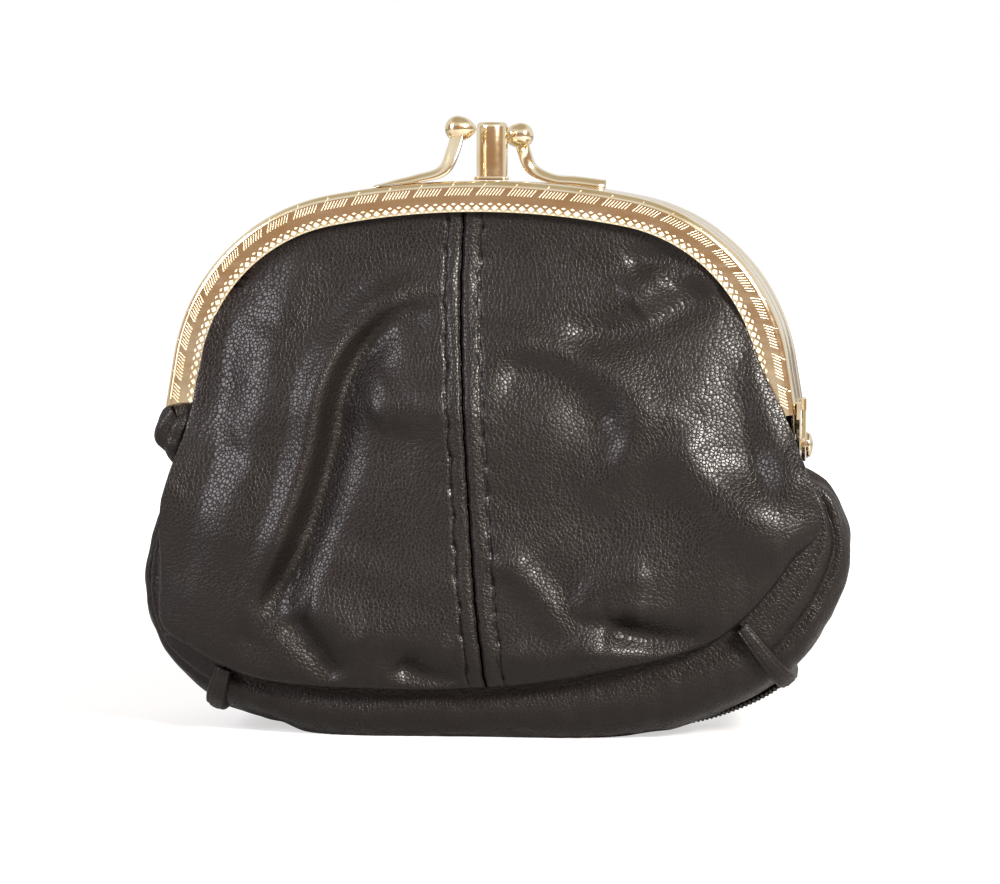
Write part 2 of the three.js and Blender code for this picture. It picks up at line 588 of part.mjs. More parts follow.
function seamFootDistance() {
  let [low, high] = [tabLeft, tabRight];
  while (high - low > PIECE_GAP / 100) {
    const middle = (low + high) / 2;
    if (wall.valueAt(middle).seamX < CENTRE_SEAM[0].x) low = middle;
    else high = middle;
  }
  return low;
}

function panelEdges(lateral) {
  const corner = wallDistance(lateral < 0 ? LEFT_CORNER : RIGHT_CORNER);
  const hinge = lateral < 0 ? 0 : wall.length;
  const mouthMiddle = CENTRE_SEAM[CENTRE_SEAM.length - 1].x - FRAME_X + lateral * PIECE_GAP / 2;
  const footMiddle = seamFootDistance() + lateral * PIECE_GAP / 2;
  const footDepth = seamPoint(footMiddle).depth;
  const mouth = alongEdge(steps(mouthMiddle, lateral * SHOULDER_MIDDLE, CELLS.edge).map(mouthPoint));
  const foot = alongEdge(steps(footMiddle, corner, CELLS.edge).map(seamPoint));
  const side = alongEdge([
    ...steps(corner, hinge, CELLS.edge).map(seamPoint),
    ...steps(lateral * ARCH_END, lateral * SHOULDER_MIDDLE, CELLS.leg).map(mouthPoint),
  ]);
  const seam = (share) => {
    const { x, z } = centreSeam.valueAt(share * centreSeam.length);
    return { x: x + lateral * PIECE_GAP / 2, z, depth: mix(footDepth, LEATHER_IN_CHANNEL, share) };
  };
  return { mouth, foot, side, seam };
}

function foldRise(folds, x, z) {
  const spot = new THREE.Vector3(x, z, 0);
  const nearest = new THREE.Vector3();
  let rise = 0;
  for (const { line, fold } of folds) {
    let distance = Infinity;
    for (let i = 0; i < line.length - 1; i += 1) {
      new THREE.Line3(line[i], line[i + 1]).closestPointToPoint(spot, true, nearest);
      distance = Math.min(distance, nearest.distanceTo(spot));
    }
    rise += fold.rise * Math.exp(-((distance / fold.wide) ** 2));
  }
  return rise;
}

function foldLines(table) {
  return table.map((fold) => {
    const start = new THREE.Vector3(fold.x0, fold.z0, 0);
    const pull = new THREE.Vector3(fold.x1, fold.z1, 0);
    const end = new THREE.Vector3(fold.x2, fold.z2, 0);
    return { fold, line: new THREE.QuadraticBezierCurve3(start, pull, end).getPoints(CELLS.fold) };
  });
}

function panelPoint(edges, folds, facing, u, v) {
  const foot = edges.foot(u);
  const mouth = edges.mouth(u);
  const seam = edges.seam(v);
  const side = edges.side(v);
  const [footIn, footOut] = [edges.foot(0), edges.foot(1)];
  const [mouthIn, mouthOut] = [edges.mouth(0), edges.mouth(1)];
  const blend = (key) => mix(foot[key], mouth[key], v) + mix(seam[key], side[key], u)
    - mix(mix(footIn[key], footOut[key], u), mix(mouthIn[key], mouthOut[key], u), v);
  const sideways = new THREE.Vector2(side.x - seam.x, side.z - seam.z);
  const upward = new THREE.Vector2(mouth.x - foot.x, mouth.z - foot.z);
  const fromSide = Math.max(0, (1 - u) * sideways.length() - side.hidden);
  const fromFoot = v * upward.length();
  const fromMouth = (1 - v) * upward.length();
  const swell = (facing > 0 ? 1 : BACK_BELLY) * BELLY * roundRise(fromSide, BELLY_SIDE_ROLL)
    * roundRise(fromFoot, BELLY_FOOT_ROLL) * ramp(BELLY_MOUTH_START, BELLY_MOUTH_END, fromMouth);
  const base = mix(LEATHER_IN_CHANNEL, blend("depth"), ramp(DEPTH_MOUTH_START, DEPTH_MOUTH_END, fromMouth));
  const bulge = (distance) => PUFF * Math.sin(Math.PI * Math.min(1, distance / PUFF_REACH));
  sideways.normalize().multiplyScalar(side.puff * bulge(fromSide));
  upward.normalize().multiplyScalar(-foot.puff * bulge(fromFoot));
  const x = blend("x") + sideways.x + upward.x;
  const z = blend("z") + sideways.y + upward.y;
  const fade = ramp(0, FOLD_EDGE, fromSide) * ramp(0, FOLD_EDGE, fromFoot)
    * ramp(BELLY_MOUTH_START, BELLY_MOUTH_START + FOLD_EDGE, fromMouth);
  return new THREE.Vector3(x, -facing * (base + swell + fade * foldRise(folds, x, z)), z);
}

function panel(facing, lateral, across, upward) {
  const edges = panelEdges(lateral);
  const folds = foldLines(facing > 0 ? FRONT_FOLDS : BACK_FOLDS);
  const grid = steps(0, 1, upward).map((t) => steps(0, 1, across).map((s) => {
    const u = 1 - (1 - s) ** SIDE_CROWDING;
    const v = t ** FOOT_CROWDING;
    return panelPoint(edges, folds, facing, u, v);
  }));
  return sheetBody(grid, -facing * lateral, 0, -LEATHER);
}

// The wall between the two compartments, from the middle frame down into the body
function divider() {
  const gussetEdge = (distance) => {
    const point = wallPoint(distance, 0.5);
    const inward = wallInward(distance).multiplyScalar(LEATHER + DIVIDER.clear);
    return new THREE.Vector2(point.x, point.z).add(inward);
  };
  const archEdge = (distance) => {
    const point = archPoint(distance, tuckAt(distance) + PIECE_GAP, 0);
    return new THREE.Vector2(point.x, point.z);
  };
  const sideEdge = (from, to) =>
    steps(wallDistance(from), wallDistance(to), CELLS.dividerSide).map(gussetEdge);
  const left = sideEdge("left corner", "left neck");
  const right = sideEdge("right neck", "right low");
  const foot = steps(tabRight, tabLeft, CELLS.dividerFoot).map((distance) => {
    const edge = gussetEdge(distance);
    return new THREE.Vector2(edge.x, edge.y + DIVIDER.foot);
  });
  const legEnd = ARCH_END - DIVIDER.legClear;
  const mouth = steps(-legEnd, legEnd, CELLS.dividerMouth).map(archEdge);
  const shape = new THREE.Shape([...left, ...mouth, ...right, ...foot]);
  const sheet = extruded(shape, DIVIDER.thick);
  sheet.rotateX(Math.PI / 2);
  sheet.translate(0, DIVIDER.thick / 2, 0);
  return joined([sheet]);
}

// The assembly
const purse = new THREE.Group();
purse.name = "leather_purse";

function add(name, geometry, color, metalness, roughness) {
  const body = geometry.clone();
  body.computeVertexNormals();
  const mesh = new THREE.Mesh(body, new THREE.MeshStandardMaterial({ color, metalness, roughness }));
  mesh.name = name;
  purse.add(mesh);
}

const leather = (name, geometry) => add(name, geometry, 0x3a3330, 0, 0.45);
const metal = (name, geometry) => add(name, geometry, 0xd8c69a, 1, 0.22);
const cloth = (name, geometry) => add(name, geometry, 0x1d1a19, 0, 0.9);

leather("front_panel_left", panel(1, -1, CELLS.panelAcross, CELLS.panelUp));
leather("front_panel_right", panel(1, 1, CELLS.panelAcross, CELLS.panelUp));
leather("back_panel_left", panel(-1, -1, CELLS.backAcross, CELLS.backUp));
leather("back_panel_right", panel(-1, 1, CELLS.backAcross, CELLS.backUp));
leather("bottom_band_front", bottomBand(1));
leather("bottom_band_back", bottomBand(-1));
leather("gusset_left", gusset(GUSSET_DROP, tabLeft - PIECE_GAP / 2));
leather("gusset_right", gusset(tabRight + PIECE_GAP / 2, wall.length - GUSSET_DROP));
leather("tab_left", tab(tabLeft));
leather("tab_right", tab(tabRight));
leather("divider", divider());
cloth("zip_tape_front", zipTape(1));
cloth("zip_tape_back", zipTape(-1));
add("zip_chain", zipChain(), 0x242120, 0, 0.5);
add("zip_slider", zipSlider(), 0x2a2624, 1, 0.4);
metal("front_frame", frame("front", -FRAME_PITCH));
metal("middle_frame", frame("middle", 0));
metal("back_frame", frame("back", FRAME_PITCH));
metal("front_clasp_lever", claspLever(CLASP.front));
metal("back_clasp_lever", claspLever(CLASP.back));
metal("clasp_post", claspPost());
metal("hinge_rivet_left", hingeRivet(-1));
metal("hinge_rivet_right", hingeRivet(1));

export default purse;
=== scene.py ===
# A soft leather purse with two compartments under a triple snap frame. Its sizes are millimetres in the
# model's own frame, +X to the right, -Y out of the front and +Z up. The meshes are made in metres, and the
# camera, the lamps and the paper are placed in metres.
import math
import bpy
import numpy as np
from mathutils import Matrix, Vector, noise


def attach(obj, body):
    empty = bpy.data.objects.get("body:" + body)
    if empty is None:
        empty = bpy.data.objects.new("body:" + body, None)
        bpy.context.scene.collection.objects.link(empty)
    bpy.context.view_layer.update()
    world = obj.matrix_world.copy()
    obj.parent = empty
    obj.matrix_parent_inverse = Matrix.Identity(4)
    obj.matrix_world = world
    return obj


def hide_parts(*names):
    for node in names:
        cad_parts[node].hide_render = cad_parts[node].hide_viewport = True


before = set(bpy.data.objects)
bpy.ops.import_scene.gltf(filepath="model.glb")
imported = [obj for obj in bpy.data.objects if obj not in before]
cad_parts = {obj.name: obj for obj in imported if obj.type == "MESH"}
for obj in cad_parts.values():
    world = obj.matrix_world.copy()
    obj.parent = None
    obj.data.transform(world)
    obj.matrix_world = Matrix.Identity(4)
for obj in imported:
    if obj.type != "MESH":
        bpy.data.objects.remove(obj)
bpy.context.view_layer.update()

# Camera, floor and light
# The purse stands on white paper before a white wall. Two soft lamps light it from the left and the
# right. The metal and the leather mirror a dim brown room on the camera's side, with a bright window on
# the left and a tan ceiling.
EYE_TURN = math.radians(6)
EYE_RISE = math.radians(5)
EYE_DISTANCE = 0.48
EYE_AIM = Vector((0.0002, 0.0, 0.0442))
LENS = 112.2
SENSOR = 36
EYE_NEAR = 0.01
WALL_WHITE = (0.85, 0.84, 0.83, 1)
ROOM_BROWN = (0.42, 0.275, 0.185, 1)
CEILING_TAN = (0.52, 0.46, 0.35, 1)
# Where the room, the ceiling and the window begin and where they are full, in the direction of a ray
ROOM_SIDE = (0.30, -0.15)
ROOM_HEIGHT = (0.60, 0.30)
CEILING_HEIGHT = (0.68, 0.90)
WINDOW_EDGE = (0.968, 0.988)
WINDOW_WAY = (-0.77, -0.64, 0.0)
WINDOW_BRIGHT = 2.5
PAPER_WHITE = (0.42, 0.415, 0.41, 1)
PAPER_STAIN = (0.38, 0.36, 0.345, 1)
PAPER_GLOW = (1.0, 0.995, 0.99, 1)
PAPER_MARKS = (0.58, 0.78)
PAPER_GLOW_REACH = (0.07, 0.30)
PAPER_GLOW_POWER = (0.58, 1.0)
PAPER_HALF = 4.0
PAPER_FRONT = -0.9
LAMPS = {
    "lamp_right": {"place": (0.42, -0.40, 0.38), "size": 0.15, "power": 10.5, "tint": (1.0, 0.94, 0.87)},
    "lamp_left": {"place": (-0.46, -0.36, 0.32), "size": 0.24, "power": 3.2, "tint": (0.97, 0.94, 1.0)},
}


def add_node(tree, kind, inputs=None, **settings):
    made = tree.nodes.new(kind)
    for key, value in settings.items():
        setattr(made, key, value)
    for key, value in (inputs or {}).items():
        if isinstance(value, bpy.types.NodeSocket):
            tree.links.new(value, made.inputs[key])
        else:
            made.inputs[key].default_value = value
    return made


def ranged(tree, value, given, result=(0, 1), smooth=False):
    """A value whose given span is mapped to the resulting one."""
    way = "SMOOTHSTEP" if smooth else "LINEAR"
    ends = {1: given[0], 2: given[1], 3: result[0], 4: result[1]}
    return add_node(tree, "ShaderNodeMapRange", {"Value": value, **ends}, interpolation_type=way).outputs[0]


def blend(tree, share, first, second):
    """A colour between two others."""
    return add_node(tree, "ShaderNodeMix", {0: share, 6: first, 7: second}, data_type="RGBA").outputs[2]


def new_material(name):
    material = bpy.data.materials.new(name)
    material.use_nodes = True
    tree = material.node_tree
    return material, tree, tree.nodes["Principled BSDF"]


eye_way = Vector((
    math.sin(EYE_TURN) * math.cos(EYE_RISE),
    -math.cos(EYE_TURN) * math.cos(EYE_RISE),
    math.sin(EYE_RISE),
))
camera = bpy.data.objects.new("camera", bpy.data.cameras.new("camera"))
camera.data.lens = LENS
camera.data.sensor_width = SENSOR
camera.data.clip_start = EYE_NEAR
camera.location = EYE_AIM + eye_way * EYE_DISTANCE
camera.rotation_euler = eye_way.to_track_quat("Z", "Y").to_euler()
bpy.context.scene.collection.objects.link(camera)
bpy.context.scene.camera = camera
bpy.context.scene.view_settings.view_transform = "Standard"

world = bpy.data.worlds.new("white wall and dim room")
world.use_nodes = True
bpy.context.scene.world = world
sky = world.node_tree
sky.nodes.clear()
sky_way = add_node(sky, "ShaderNodeTexCoord").outputs["Generated"]
sky_axes = add_node(sky, "ShaderNodeSeparateXYZ", {0: sky_way}).outputs
room_near = ranged(sky, sky_axes["Y"], ROOM_SIDE, smooth=True)
room_low = ranged(sky, sky_axes["Z"], ROOM_HEIGHT, smooth=True)
room = add_node(sky, "ShaderNodeMath", {0: room_near, 1: room_low}, operation="MULTIPLY")
window_near = add_node(sky, "ShaderNodeVectorMath", {0: sky_way, 1: WINDOW_WAY}, operation="DOT_PRODUCT")
window = ranged(sky, window_near.outputs["Value"], WINDOW_EDGE, smooth=True)
room_seen = add_node(sky, "ShaderNodeMath", {0: room.outputs[0], 1: window}, operation="SUBTRACT")
above = ranged(sky, sky_axes["Z"], CEILING_HEIGHT, smooth=True)
wall_colour = blend(sky, above, WALL_WHITE, CEILING_TAN)
sky_colour = blend(sky, room_seen.outputs[0], wall_colour, ROOM_BROWN)
sky_strength = ranged(sky, window, (0, 1), (1.0, WINDOW_BRIGHT))
sky_light = add_node(sky, "ShaderNodeBackground", {"Color": sky_colour, "Strength": sky_strength})
sky_behind = add_node(sky, "ShaderNodeBackground", {"Color": (1, 1, 1, 1), "Strength": 1.0})
seen = add_node(sky, "ShaderNodeLightPath").outputs["Is Camera Ray"]
sky_mix = add_node(sky, "ShaderNodeMixShader", {0: seen, 1: sky_light.outputs[0], 2: sky_behind.outputs[0]})
add_node(sky, "ShaderNodeOutputWorld", {"Surface": sky_mix.outputs[0]})

for lamp_name, lamp in LAMPS.items():
    light = bpy.data.objects.new(lamp_name, bpy.data.lights.new(lamp_name, "AREA"))
    light.data.energy = lamp["power"]
    light.data.size = lamp["size"]
    light.data.color = lamp["tint"]
    light.location = lamp["place"]
    light.rotation_euler = (Vector(lamp["place"]) - EYE_AIM).to_track_quat("Z", "Y").to_euler()
    bpy.context.scene.collection.objects.link(light)

paper_mesh = bpy.data.meshes.new("paper_floor")
paper_corners = [(-PAPER_HALF, PAPER_FRONT, 0), (PAPER_HALF, PAPER_FRONT, 0),
                 (PAPER_HALF, PAPER_HALF, 0), (-PAPER_HALF, PAPER_HALF, 0)]
paper_mesh.from_pydata(paper_corners, [], [(0, 1, 2, 3)])
paper = bpy.data.objects.new("paper_floor", paper_mesh)
bpy.context.scene.collection.objects.link(paper)
paper_finish, paper_tree, paper_skin = new_material("pale paper")
paper_spots = add_node(paper_tree, "ShaderNodeTexNoise", {"Scale": 38, "Detail": 5, "Roughness": 0.6})
paper_mask = ranged(paper_tree, paper_spots.outputs[0], PAPER_MARKS)
paper_tint = blend(paper_tree, paper_mask, PAPER_WHITE, PAPER_STAIN)
paper_place = add_node(paper_tree, "ShaderNodeTexCoord").outputs["Object"]
paper_away = add_node(paper_tree, "ShaderNodeVectorMath", {0: paper_place}, operation="LENGTH")
paper_bright = ranged(paper_tree, paper_away.outputs["Value"], PAPER_GLOW_REACH, PAPER_GLOW_POWER)
paper_seen = add_node(paper_tree, "ShaderNodeLightPath").outputs["Is Camera Ray"]
paper_glow = add_node(paper_tree, "ShaderNodeMath", {0: paper_bright, 1: paper_seen}, operation="MULTIPLY")
paper_tree.links.new(paper_tint, paper_skin.inputs["Base Color"])
paper_tree.links.new(paper_glow.outputs[0], paper_skin.inputs["Emission Strength"])
paper_skin.inputs["Emission Color"].default_value = PAPER_GLOW
paper_skin.inputs["Roughness"].default_value = 0.7
paper.data.materials.append(paper_finish)

# Soft front
# Two halves of thin glossy brown-black leather, sewn together along the centre and to the bottom and
# side walls, their upper edge clamped in the front frame. The leather is slack, so it falls in folds.
MM = 0.001
LEATHER = 1.2
PIECE_GAP = 0.3
BELLY = 5.0
BELLY_SIDE_ROLL = 16
BELLY_FOOT_ROLL = 12
BELLY_MOUTH = (4, 34)
DEPTH_MOUTH = (2, 32)
PUFF = 1.3
PUFF_REACH = 6
FOLD_EDGE = 5
FOLD_STRETCHES = 40
FOLD_TIP = 0.3
FOLD_TAPER = 0.18
TINY = 1e-9
PANEL_ROWS = 210
PANEL_COLUMNS = 150
ROWS_CROWD = 0.5
COLUMNS_CROWD = 0.65
EDGE_STATIONS = 21
LEG_STATIONS = 13
SEAM_SEARCH = 400
CORNER_EASE = 12
CORNER_REACH = 2.5
# The colour of the grain's creases is painted shade: the crevices between the pebbles are darkened.
LEATHER_CREASE_SHADE = (0.0045, 0.0029, 0.0025, 1)
LEATHER_BLACK = (0.0064, 0.0043, 0.0037, 1)
LEATHER_BROWN = (0.0096, 0.0066, 0.0059, 1)
LEATHER_SHINE = 0.27
LEATHER_PATCHES = (0.3, 0.7)
LEATHER_ROUGH_SPREAD = 0.04
CREASE_ROUGH = 0.6
GRAIN_DEPTH = 0.00006
GRAIN_PULL = (0.0005, 0.0005, 0.0008)
GRAIN_CREASE = (0.14, 0.0)
GRAIN_CREASE_SINK = 0.38

# Small creases all over the leather: rise and size. The gathers along its foot are finer.
CREASES = [(0.40, 9.0), (0.08, 4.2), (0.02, 1.9)]
CREASE_SIDE = 5.0
RIPPLE_SHIFT = 31.7
FOOT_GATHER = 0.16
FOOT_GATHER_SIZE = 1.5
FOOT_GATHER_STRETCH = (1, 0.2, 1)
FOOT_GATHER_AT = 2.5
FOOT_GATHER_WIDE = 3.0
FOOT_GATHER_LAYER = 4

# Sections of the side and bottom wall, from the left hinge round the base to the right hinge:
# outermost point x and z, front seam x and z, half the depth between the seams, tuck of the pleat
WALL = [
    (-47.7, 46.0, -46.9, 46.8, 5.5, 3.0),
    (-48.2, 41.0, -47.0, 42.6, 7.8, 3.4),
    (-52.0, 33.6, -48.6, 36.0, 9.6, 3.6),
    (-54.3, 25.2, -50.3, 25.8, 10.6, 2.6),
    (-52.8, 15.2, -49.6, 18.0, 11.4, 1.2),
    (-49.0, 9.3, -46.9, 14.6, 12.0, 0.4),
    (-42.7, 4.3, -40.6, 10.8, 12.3, 0.0),
    (-36.0, 2.0, -34.6, 8.9, 12.6, 0.0),
    (-28.6, -0.8, -27.6, 8.2, 13.0, 0.0),
    (-4.6, -1.4, -2.6, 8.3, 13.2, 0.0),
    (18.4, -0.8, 17.9, 11.0, 13.0, 0.0),
    (30.4, 2.2, 28.9, 13.9, 12.8, 0.0),
    (44.4, 9.2, 37.4, 18.4, 12.2, 0.0),
    (50.6, 16.6, 42.8, 24.2, 11.4, 1.0),
    (54.5, 29.4, 47.6, 33.4, 10.2, 2.6),
    (51.2, 37.4, 46.3, 38.8, 9.4, 3.4),
    (45.4, 41.0, 43.8, 43.2, 7.8, 2.6),
    (44.2, 45.6, 43.0, 46.8, 5.5, 2.6),
]
LEFT_LOW, LEFT_TAB, RIGHT_TAB, RIGHT_WIDE = 4, 6, 12, 14

# The centre seam, x and z from the base to the mouth
CENTRE_SEAM = [(-0.2, 8.2), (-1.8, 21.8), (-3.0, 36.8), (-4.0, 51.8), (-4.9, 66.7), (-4.7, 82.3)]

# The arch of the frames: crown arc, shoulder arcs and straight legs
FRAME_X = -2.05
FRAME_SKEW = 0.08
FRAME_TOP = 84.3
CROWN_RADIUS = 121
CROWN_ANGLE = math.radians(11)
SHOULDER_RADIUS = 30
LEG_ANGLE = math.radians(80.5)
LEG_LENGTH = 8.3
CROWN_RUN = CROWN_RADIUS * CROWN_ANGLE
SHOULDER_RUN = SHOULDER_RADIUS * (LEG_ANGLE - CROWN_ANGLE)
ARCH_END = CROWN_RUN + SHOULDER_RUN + LEG_LENGTH
SHOULDER_MIDDLE = CROWN_RUN + SHOULDER_RUN / 2
CHANNEL_FACE = 4.7
TUCK = 1.9
TUCK_AT_END = 4.3
TUCK_CHANGE = 14
LEATHER_IN_CHANNEL = 5.9
LIP_CLEARANCE = 2.6

# Folds of the front: rise (a valley is negative), spread to the left and to the right of the way
# the fold runs, and the x and z of the places it runs through
FRONT_FOLDS = [
    (1.9, 2.4, 2.9, [(-7.4, 69.1), (-15.0, 66.6), (-21.2, 61.0), (-25.4, 54.1), (-26.8, 45.0),
                     (-29.6, 34.9), (-35.0, 20.0)]),
    (-3.1, 3.6, 2.1, [(-13.0, 64.4), (-16.3, 63.0), (-20.4, 58.0), (-22.9, 50.5), (-24.6, 41.8),
                      (-28.0, 31.0), (-33.6, 19.6), (-35.2, 15.4)]),
    (-1.2, 7.0, 7.0, [(-15.0, 50.0), (-18.0, 38.0), (-22.0, 27.0)]),
    (0.6, 2.8, 2.8, [(-34.0, 17.7), (-29.9, 14.2), (-25.7, 9.8)]),
    (-1.9, 2.6, 3.0, [(-30.5, 19.5), (-26.4, 13.8), (-22.3, 8.6)]),
    (1.1, 3.2, 2.8, [(-27.9, 20.6), (-22.9, 18.5), (-19.2, 14.1)]),
    (-2.0, 2.6, 2.4, [(-14.2, 12.8), (-9.6, 9.8), (-4.1, 8.5)]),
    (0.9, 4.0, 4.0, [(-18.5, 15.6), (-11.6, 15.3), (-4.8, 13.9)]),
    (0.9, 4.0, 4.0, [(-18.7, 48.4), (-12.4, 51.0), (-5.2, 50.4)]),
    (-0.7, 4.5, 4.5, [(-16.3, 53.4), (-11.7, 56.4), (-5.2, 57.1)]),
    (0.6, 3.2, 3.2, [(-28.0, 72.5), (-30.4, 68.0), (-32.0, 62.0)]),
    (1.3, 6.0, 6.0, [(-33.0, 66.0), (-34.0, 54.0), (-36.8, 43.0), (-39.0, 33.0), (-40.0, 24.0)]),
    (-0.5, 3.0, 3.0, [(-46.5, 36.0), (-43.0, 40.0), (-37.0, 45.0)]),
    (1.1, 3.2, 2.6, [(-1.0, 60.4), (13.9, 57.7), (21.5, 49.8), (20.5, 43.3), (16.5, 38.6)]),
    (-1.1, 3.6, 4.2, [(0.4, 56.0), (11.9, 53.0), (17.9, 46.1)]),
    (-1.2, 2.8, 3.0, [(9.4, 60.1), (21.5, 62.3), (34.1, 68.0)]),
    (1.0, 3.4, 3.4, [(20.1, 65.7), (23.1, 68.2), (25.6, 70.5)]),
    (0.8, 2.6, 2.6, [(29.3, 71.7), (31.9, 69.8), (34.4, 68.0)]),
    (-1.0, 2.4, 2.4, [(20.1, 70.9), (24.5, 73.2), (29.6, 73.5)]),
    (0.2, 4.0, 4.0, [(35.0, 62.0), (33.0, 56.0), (30.5, 50.0)]),
    (2.3, 4.0, 5.2, [(27.0, 48.5), (30.2, 42.2), (35.6, 37.4), (40.2, 34.6), (44.2, 31.4), (47.6, 27.0)]),
    (1.0, 2.2, 3.0, [(37.6, 59.5), (41.2, 49.5), (44.6, 40.5), (46.8, 35.0)]),
    (1.3, 3.0, 2.6, [(-0.2, 29.1), (6.8, 25.0), (11.7, 18.4), (15.3, 15.1), (20.3, 13.6)]),
    (1.0, 2.6, 2.6, [(14.3, 18.4), (16.0, 23.3), (25.1, 26.2)]),
    (1.0, 2.4, 2.4, [(17.7, 20.3), (20.6, 20.8), (24.0, 20.2)]),
    (-2.4, 2.6, 2.4, [(17.3, 18.4), (24.6, 16.3), (32.6, 15.3)]),
    (-1.0, 2.8, 2.8, [(5.7, 28.8), (10.6, 22.8), (14.3, 15.4)]),
    (0.9, 2.4, 2.4, [(1.9, 13.8), (10.9, 13.4), (19.9, 13.6)]),
]

# The two rows of stitches beside the centre seam, and the leather they pull in
STITCH_ROW = {-1: 2.2, 1: 2.5}
STITCH_LENGTH = 4.4
STITCH_SHIFT = {-1: 0.0, 1: 0.3}
SEAM_GROOVE = 0.35
SEAM_GROOVE_WIDE = 0.2
SEAM_SWAY = 0.05
SEAM_SWAY_TURNS = 96
SEAM_SHAKE = 0.6
SEAM_SHAKE_TURNS = 231
SEAM_ROLL = 0.22
SEAM_ROLL_AT = 1.0
SEAM_ROLL_WIDE = 0.7
ROW_SWAY = 0.10
ROW_SWAY_TURNS = 0.9
ROW_SHAKE = 0.06
ROW_SHAKE_TURNS = 2.3
ROW_GROOVE = 0.30
ROW_GROOVE_WIDE = 0.24
STITCH_PIT = 0.26
STITCH_PIT_WIDE = 0.42
STITCH_PIT_LONG = 0.5
STITCH_PUCKER = 0.05
STITCH_PUCKER_AT = 1.0
STITCH_PUCKER_WIDE = 1.5

# How far out the slack leather bulges over the ends of the frame's legs: z and x on each side
LAP_EDGE = {
    -1: [(24.0, -51.2), (36.2, -49.9), (41.0, -48.6), (45.9, -47.0), (50.5, -45.9), (54.5, -45.3),
         (59.7, -44.3), (64.3, -42.7), (69.0, -39.4), (78.0, -31.0)],
    1: [(26.5, 47.8), (31.6, 49.6), (36.2, 49.3), (41.6, 47.3), (48.3, 44.5), (54.8, 41.2),
        (60.4, 38.8), (68.7, 35.6), (76.0, 31.0)],
}
LAP_FADE = 16.0
LAP_BARES = 0.9
LAP_FORWARD = 1.3
LAP_FORWARD_DROP = (8, 18)
LAP_REACH = 5.0
LAP_RETURN = 2.5
LAP_HOLLOW = 6.0


def mix(a, b, share):
    return a + (b - a) * share


def ramp(start, end, value):
    share = np.clip((value - start) / (end - start), 0, 1)
    return share * share * (3 - 2 * share)


def round_rise(distance, reach):
    short = 1 - np.clip(distance / reach, 0, 1)
    return np.sqrt(1 - short * short)


def hill(distance, wide):
    return np.exp(-(distance / wide) ** 2)


def crowded(share, amount):
    """Even shares from nought to one, drawn towards both ends."""
    return share - amount * np.sin(2 * math.pi * share) / (2 * math.pi)


def smooth_track(rows):
    """A smooth curve through the rows of a table, measured along its first two columns."""
    rows = np.array(rows, float)
    gaps = np.hypot(*np.diff(rows[:, :2], axis=0).T)
    knots = np.concatenate([[0.0], np.cumsum(gaps)])
    rises = np.diff(rows, axis=0) / gaps[:, None]
    before = gaps[:-1, None]
    after = gaps[1:, None]
    inner = (rises[:-1] * after + rises[1:] * before) / (before + after)
    slopes = np.concatenate([rises[:1], inner, rises[-1:]])

    def at(distance):
        distance = np.asarray(distance, float)
        i = np.searchsorted(knots[1:-1], distance)
        span = (knots[i + 1] - knots[i])[..., None]
        t = (distance - knots[i])[..., None] / span
        return ((1 + 2 * t) * (1 - t) ** 2 * rows[i] + t * (1 - t) ** 2 * span * slopes[i]
                + t * t * (3 - 2 * t) * rows[i + 1] + t * t * (t - 1) * span * slopes[i + 1])

    return at, knots


def along_edge(rows):
    at, knots = smooth_track(rows)
    return lambda share: at(share * knots[-1])


def arch_point(distance, inset, y):
    """A point on the frames' arch: distance from the crown's top, left negative, and inset from the rim."""
    distance, inset, y = np.broadcast_arrays(distance, inset, y)
    run = np.abs(distance)
    crown = np.minimum(run, CROWN_RUN) / CROWN_RADIUS
    angle = crown + np.clip(run - CROWN_RUN, 0, SHOULDER_RUN) / SHOULDER_RADIUS
    leg = np.maximum(run - CROWN_RUN - SHOULDER_RUN, 0)
    out = (CROWN_RADIUS * np.sin(crown) + SHOULDER_RADIUS * (np.sin(angle) - np.sin(crown))
           + leg * np.cos(angle) - inset * np.sin(angle))
    drop = (CROWN_RADIUS * (1 - np.cos(crown)) + SHOULDER_RADIUS * (np.cos(crown) - np.cos(angle))
            + leg * np.sin(angle) + inset * np.cos(angle))
    return np.stack([FRAME_X + np.sign(distance) * out + FRAME_SKEW * y, y, FRAME_TOP - drop], -1)


def tuck_at(distance):
    return mix(TUCK, TUCK_AT_END, ramp(ARCH_END - TUCK_CHANGE, ARCH_END, np.abs(distance)))


wall_at, wall_knots = smooth_track(WALL)
WALL_LENGTH = wall_knots[-1]
seam_at, seam_knots = smooth_track(CENTRE_SEAM)


def seam_rows(distances):
    """Edge rows along the front seam: x, z, depth, hidden and puff."""
    wall = wall_at(distances)
    puff = ramp(0, PUFF_REACH, np.minimum(distances, WALL_LENGTH - distances))
    return np.stack([wall[:, 2], wall[:, 3], wall[:, 4] + PIECE_GAP, 0 * puff, puff], -1)


def mouth_rows(distances):
    """Edge rows along the frame, where the leather is tucked into the channel."""
    spots = arch_point(distances, tuck_at(distances), 0.0)
    hidden = CHANNEL_FACE - tuck_at(distances) + LIP_CLEARANCE
    depth = np.full_like(hidden, LEATHER_IN_CHANNEL)
    return np.stack([spots[:, 0], spots[:, 2], depth, hidden, 0 * hidden], -1)


